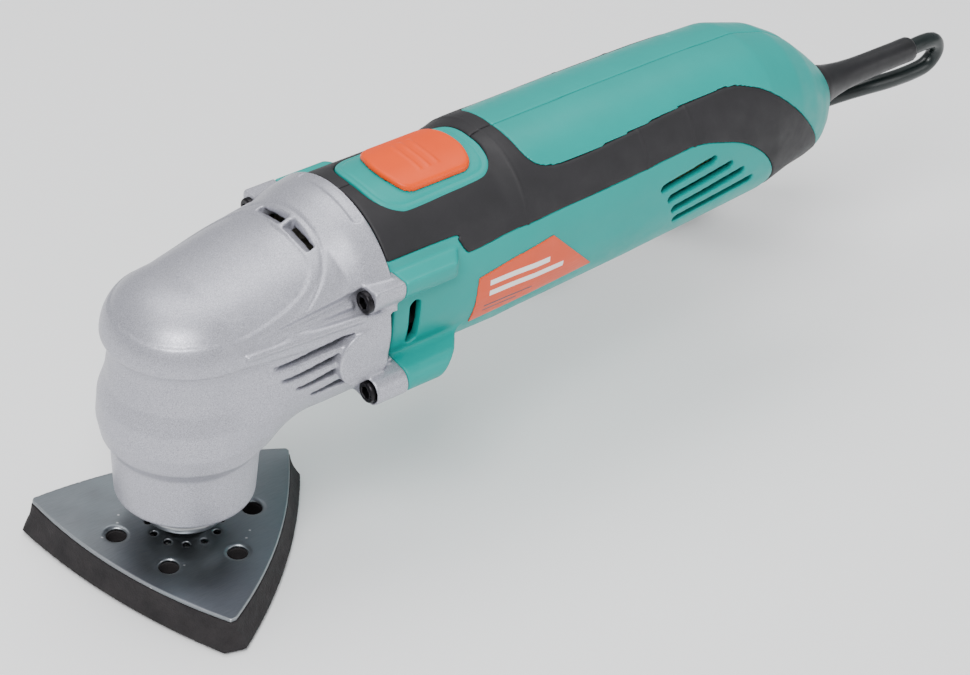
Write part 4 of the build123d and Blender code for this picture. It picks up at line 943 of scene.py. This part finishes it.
def make_switch():
    b = Block((55.0, -24.0, 96.0), (112.0, 24.0, 121.5), 0.35)
    outer = body_form(b)
    island = island_plan(b.x[:, :, 0], b.y[:, :, 0])[:, :, None]
    plate = meet(outer - 0.5, island + 0.12, 0.8)
    plate = cut(plate, outer + WALL)
    rim = np.abs(island + 2.2)
    plate = plate + 0.22 * np.exp(-((rim / 0.5) ** 2)) * (outer > -1.5)
    window = meet(slab(b.x, 70.5, 91.5), np.abs(b.y) - 4.8)
    plate = cut(plate, window)
    made = skin("switch_island", b, plate, TEAL_PLASTIC)
    stands_for(made, "tool_body", "housing_shell", "switch_surround")
    # slider: a low curved button with bowed ends and three fine ribs
    bow = 4.0 * (b.y / SLIDER_HALF) ** 2
    plan = meet(slab(b.x, *SLIDER_X) + bow * 0.85, np.abs(b.y) - SLIDER_HALF, 3.4)
    button = meet(plan, outer - 2.55, 1.4)
    button = cut(button, outer - 0.7)
    for place in SLIDER_RIBS:
        line = np.maximum(np.abs(b.x - place), np.abs(b.y) - 7.2)
        button = button - 0.3 * np.exp(-((np.maximum(line, 0) / 0.6) ** 2)) * (outer > 1.2)
    stem = meet(slab(b.x, 83.5, 89.5), np.abs(b.y) - 4.0)
    stem = meet(stem, slab(b.z, 112.8, 118.0))
    button = join(button, stem)
    made = skin("slider_button", b, button, ORANGE)
    stands_for(made, "slide_switch", "slider_plastic", "switch_slider")


def make_label():
    b = Block((84.0, 24.0, 66.0), (143.0, 35.0, 97.5), 0.3)
    outer = body_form(b)
    corners = [(87.2, 69.6), (88.8, 88.6), (119.2, 94.0), (139.4, 73.6)]
    plan = outline(b.x[:, 0], b.z[0], corners)[:, None, :]
    plate = meet(outer - 0.4, plan + 0.6, 0.4)
    plate = cut(plate, outer - 0.02)
    made = skin("side_label", b, plate, LABEL, flip_y=True)
    stands_for(made, "tool_body", "label_plate", "rating_label")


# ---------------------------------------------------------------- pad
PAD_TURN = 12.9  # degrees
BACKING_TOP = 1.1
FOAM_LOW = 1.2
PLATE_LOW = 10.5
PLATE_TOP = 12.0
HAT_TOP = 17.0
CENTRE_R = 11.0  # the foam's hole round the clamp screw
DUST_RING_R, DUST_R = 22.4, 3.25
PIN_RING_R, PIN_R = 11.5, 1.25
SIDE_STEPS = 16


def pad_outline(corner, blunt, bulge=5.4):
    """Three bowed sides between corners cut short by blunt."""
    points = []
    for k in range(3):
        a = radians(PAD_TURN + 120.0 * k)
        b = a + radians(120.0)
        radius = corner - blunt * 0.5774
        start = Vector((radius * cos(a) - blunt / 2 * sin(a), radius * sin(a) + blunt / 2 * cos(a)))
        end = Vector((radius * cos(b) + blunt / 2 * sin(b), radius * sin(b) - blunt / 2 * cos(b)))
        chord = end - start
        out = Vector((chord.y, -chord.x)).normalized()
        for i in range(SIDE_STEPS + 1):
            t = i / SIDE_STEPS
            point = start + chord * t + out * (bulge * 4 * t * (1 - t))
            points.append((point.x, point.y))
    return points


def pad_holes(b, radius):
    angles = [radians(PAD_TURN + 30 + 60 * k) for k in range(6)]
    return union(
        disc(b.x - DUST_RING_R * cos(a), b.y - DUST_RING_R * sin(a), radius) for a in angles
    )


def make_pad():
    b = Block((-44.0, -56.0, -0.6), (60.0, 56.0, 18.0), 0.4)
    low = outline(b.x[:, :, 0], b.y[:, :, 0], pad_outline(56.4, 7.4, 4.2))[:, :, None]
    top = outline(b.x[:, :, 0], b.y[:, :, 0], pad_outline(50.4, 1.6))[:, :, None]
    t = np.clip((b.z - FOAM_LOW) / 9.3, 0.0, 1.0)
    side = low + (top - low) * t + 0.5 * np.sin(pi * t)
    foam_field = meet(side, slab(b.z, FOAM_LOW, PLATE_LOW), 0.5)
    foam_field = cut(foam_field, pad_holes(b, DUST_R), 0.3)
    foam_field = cut(foam_field, disc(b.x, b.y, CENTRE_R), 0.3)
    backing = meet(low + 1.2, slab(b.z, 0.0, BACKING_TOP), 0.3)
    backing = cut(backing, pad_holes(b, DUST_R + 0.15), 0.2)
    backing = cut(backing, disc(b.x, b.y, CENTRE_R), 0.2)
    piece = skin("hook_backing", b, backing, HOOKS)
    stands_for(piece, "spindle_group", "hook_layer", "hook_sheet")
    piece = skin("foam_body", b, foam_field, FOAM)
    stands_for(piece, "spindle_group", "pad_foam", "foam_pad")
    b = Block((-38.0, -47.0, 9.8), (52.0, 47.0, 18.0), 0.3)
    plan = outline(b.x[:, :, 0], b.y[:, :, 0], pad_outline(50.0, 1.4))[:, :, None]
    r = disc(b.x, b.y, 0.0)
    dish = 0.35 * np.exp(-(((r - 15.0) / 5.0) ** 2))
    plate = meet(plan, slab(b.z + dish, PLATE_LOW, PLATE_TOP), 0.35)
    plate = join(plate, meet(r - 8.8, slab(b.z, PLATE_LOW, HAT_TOP), 0.8), 1.2)
    holes = pad_holes(b, DUST_R)
    lip = 0.5 * np.exp(-((holes / 0.9) ** 2))
    plate = meet(plate, b.z - PLATE_TOP + np.where(r > 12.0, lip, 0.0), 0.2)
    plate = cut(plate, holes, 0.35)
    for k in range(12):
        a = radians(PAD_TURN + 15 + 30 * k)
        plate = cut(plate, disc(b.x - PIN_RING_R * cos(a), b.y - PIN_RING_R * sin(a), PIN_R), 0.3)
    plate = cut(plate, meet(r - 7.3, b.z - 15.5))
    plate = cut(plate, r - 3.3)
    piece = skin("steel_plate", b, plate, PLATE)
    stands_for(piece, "spindle_group", "plate_steel", "pad_plate")


# ---------------------------------------------------------------- turned pieces
def turned(name, profile, material, segments, axis="Z", place=(0.0, 0.0, 0.0)):
    """A piece turned on a lathe: profile is a closed ring of (radius, height)."""
    bm = bmesh.new()
    rings = []
    for radius, height in profile:
        ring = []
        for k in range(segments):
            a = 2 * pi * k / segments
            u, v = radius * cos(a), radius * sin(a)
            co = (u, v, height) if axis == "Z" else (height, u, v)
            ring.append(bm.verts.new([(c + p) * MM for c, p in zip(co, place)]))
        rings.append(ring)
    count = len(rings)
    for i in range(count):
        first, second = rings[i], rings[(i + 1) % count]
        for k in range(segments):
            bm.faces.new((first[k], first[(k + 1) % segments], second[(k + 1) % segments], second[k]))
    bmesh.ops.recalc_face_normals(bm, faces=bm.faces)
    mesh = bpy.data.meshes.new(name)
    bm.to_mesh(mesh)
    bm.free()
    mesh.shade_smooth()
    mesh.materials.append(material)
    made = bpy.data.objects.new(name, mesh)
    bpy.context.scene.collection.objects.link(made)
    return made


def make_collar():
    profile = [
        (6.05, 17.0), (12.6, 17.0), (13.0, 17.1), (13.2, 17.5), (13.2, 19.6), (12.95, 19.8), (12.95, 20.2),
        (13.2, 20.4), (13.2, 23.4), (13.0, 23.8), (12.6, 24.0), (6.05, 24.0),
    ]
    piece = turned("collar_flange", profile, COLLAR, 128)
    stands_for(piece, "spindle_group", "bright_steel", "tool_collar")


def make_guard():
    """Rubber sleeve round the cord: a flared foot, a waist and a plain tube with a lip."""
    profile = [
        (3.05, 258.0), (7.6, 258.0), (7.7, 259.5), (7.7, 262.0), (8.0, 263.4), (7.95, 264.6), (7.3, 266.4),
        (6.5, 269.2), (5.8, 273.0), (5.2, 277.5), (4.8, 283.0), (4.62, 289.0), (4.55, 297.0),
        (4.5, 305.0), (4.56, 308.4), (4.5, 310.2), (4.2, 310.9), (3.5, GUARD_END), (3.05, 310.6),
    ]
    piece = turned("cord_sleeve", profile, RUBBER, 64, "X", (0.0, 0.0, GUARD_Z))
    stands_for(piece, "tool_body", "cord_rubber", "cord_guard")


SCREW_HEAD_R, SCREW_HEAD_H = 3.6, 3.5
SHANK_R = 1.9
SCREW_END = 74.0
KEY_HALF = 1.85


def make_screws():
    b = Block((LUG_FRONT - 4.4, -4.2, -4.2), (LUG_FRONT + 1.0, 4.2, 4.2), 0.14)
    r = disc(b.y, b.z, 0.0)
    head = meet(r - SCREW_HEAD_R, slab(b.x, LUG_FRONT - SCREW_HEAD_H, LUG_FRONT), 0.9)
    angles = [radians(60 * k) for k in range(3)]
    socket = reduce(np.maximum, (np.abs(b.y * cos(a) + b.z * sin(a)) - KEY_HALF for a in angles))
    head = cut(head, meet(socket, b.x - LUG_FRONT + 1.2), 0.25)
    shank = meet(r - SHANK_R, LUG_FRONT - 1.0 - b.x)
    head = join(head, shank)
    first = skin("flange_screw_heads", b, head, SCREW)
    bm = bmesh.new()
    for side in (-1, 1):
        for _, (y, z) in LUGS:
            before = len(bm.verts)
            bm.from_mesh(first.data)
            bm.verts.ensure_lookup_table()
            move = Vector((0.0, side * y * MM, z * MM))
            for vert in bm.verts[before:]:
                vert.co += move
    for side in (-1, 1):
        for _, (y, z) in LUGS:
            bmesh.ops.create_cone(
                bm, cap_ends=True, segments=24, radius1=SHANK_R * MM, radius2=SHANK_R * MM,
                depth=(SCREW_END - LUG_FRONT) * MM,
                matrix=Matrix.Translation(((SCREW_END + LUG_FRONT) / 2 * MM, side * y * MM, z * MM))
                @ Matrix.Rotation(pi / 2, 4, "Y"),
            )
    bm.to_mesh(first.data)
    bm.free()
    first.data.shade_smooth()
    stands_for(first, "tool_body", "black_screws", "flange_screws")


# ---------------------------------------------------------------- plug and tie
PLUG_AT = (150.0, 66.0, 13.0)
PLUG_LENGTH = 38.0
CONTACT_HALF = 9.5  # half the distance between the two pins
PIN_PROFILE = [
    (0.01, -19.0), (1.5, -18.9), (2.2, -18.3), (2.4, -17.4), (2.4, -9.4), (2.2, -9.2), (2.2, 0.0),
    (2.4, 0.2), (2.4, 3.0), (0.01, 3.0),
]


def make_plug():
    x0, y0, z0 = PLUG_AT
    b = Block((x0 - 40.0, y0 - 20.0, z0 - 14.0), (x0 + 10.0, y0 + 20.0, z0 + 14.0), 0.45)
    y, z = b.y - y0, b.z - z0
    t = np.clip((b.x - (x0 - PLUG_LENGTH)) / PLUG_LENGTH, 0.0, 1.0)
    front = meet(disc(y, z, 18.4 - 4.4 * t), np.abs(z) - 12.9, 2.0)
    front = meet(front, slab(b.x, x0 - PLUG_LENGTH, x0 - 21.0), 1.2)
    taper = np.clip((b.x - (x0 - 24.0)) / 24.0, 0, 1) ** 0.8
    wide, high = 13.0 - 7.0 * taper, 10.4 - 4.6 * taper
    k = ((np.abs(y) / wide) ** 3 + (np.abs(z) / high) ** 3) ** (1 / 3)
    back = meet((k - 1.0) * 7.0, slab(b.x, x0 - 26.0, x0 + 0.5), 1.0)
    plug = join(front, back, 3.5)
    for i in range(4):
        line = np.maximum(np.abs(b.x - (x0 - 18.0 + 3.6 * i)), 6.0 - np.abs(y))
        plug = plug + 0.45 * np.exp(-((np.maximum(line, 0) / 0.7) ** 2))
    neck = meet(disc(y, z, 4.6 - 0.25 * np.cos((b.x - x0) * 2.2)), slab(b.x, x0 - 2.0, x0 + 8.0), 0.8)
    plug = join(plug, neck, 1.2)
    pins = disc(np.abs(y) - CONTACT_HALF, z, 2.45)
    plug = cut(plug, meet(pins, b.x - (x0 - 36.0)), 0.2)
    piece = skin("plug_moulding", b, plug, BLACK_PLASTIC)
    stands_for(piece, "tool_body", "plug_rubber", "plug_body")
    bm = bmesh.new()
    for side in (-1, 1):
        place = (x0 - PLUG_LENGTH, y0 + side * CONTACT_HALF, z0)
        pin = turned("pin", PIN_PROFILE, STEEL, 32, "X", place)
        bm.from_mesh(pin.data)
        bpy.data.objects.remove(pin)
    mesh = bpy.data.meshes.new("contact_pins")
    bm.to_mesh(mesh)
    bm.free()
    mesh.shade_smooth()
    mesh.materials.append(STEEL)
    pins = bpy.data.objects.new("contact_pins", mesh)
    bpy.context.scene.collection.objects.link(pins)
    stands_for(pins, "tool_body", "plug_pin_metal", "plug_pins")
    return piece, pins


def make_tie():
    b = Block((HANK_X - 4.6, HANK_Y - 15.6, -0.7), (HANK_X + 4.6, HANK_Y + 15.6, 22.2), 0.25)
    y, z = b.y - HANK_Y, b.z - 10.2
    qy, qz = np.abs(y) - 9.4, np.abs(z) - 5.4
    ring = np.sqrt(np.maximum(qy, 0) ** 2 + np.maximum(qz, 0) ** 2) + np.minimum(np.maximum(qy, qz), 0)
    band = meet(np.abs(ring - 4.2) - 0.55, slab(b.x, HANK_X - 3.5, HANK_X + 3.5), 0.3)
    piece = skin("strap_tie", b, band, TIE)
    stands_for(piece, "tool_body", "tie_plastic", "cord_tie")
    return piece


make_head()
housing_half(-1)
housing_half(1)
make_switch()
make_label()
make_pad()
make_collar()
make_screws()
make_guard()
plug, pins = make_plug()
tie = make_tie()
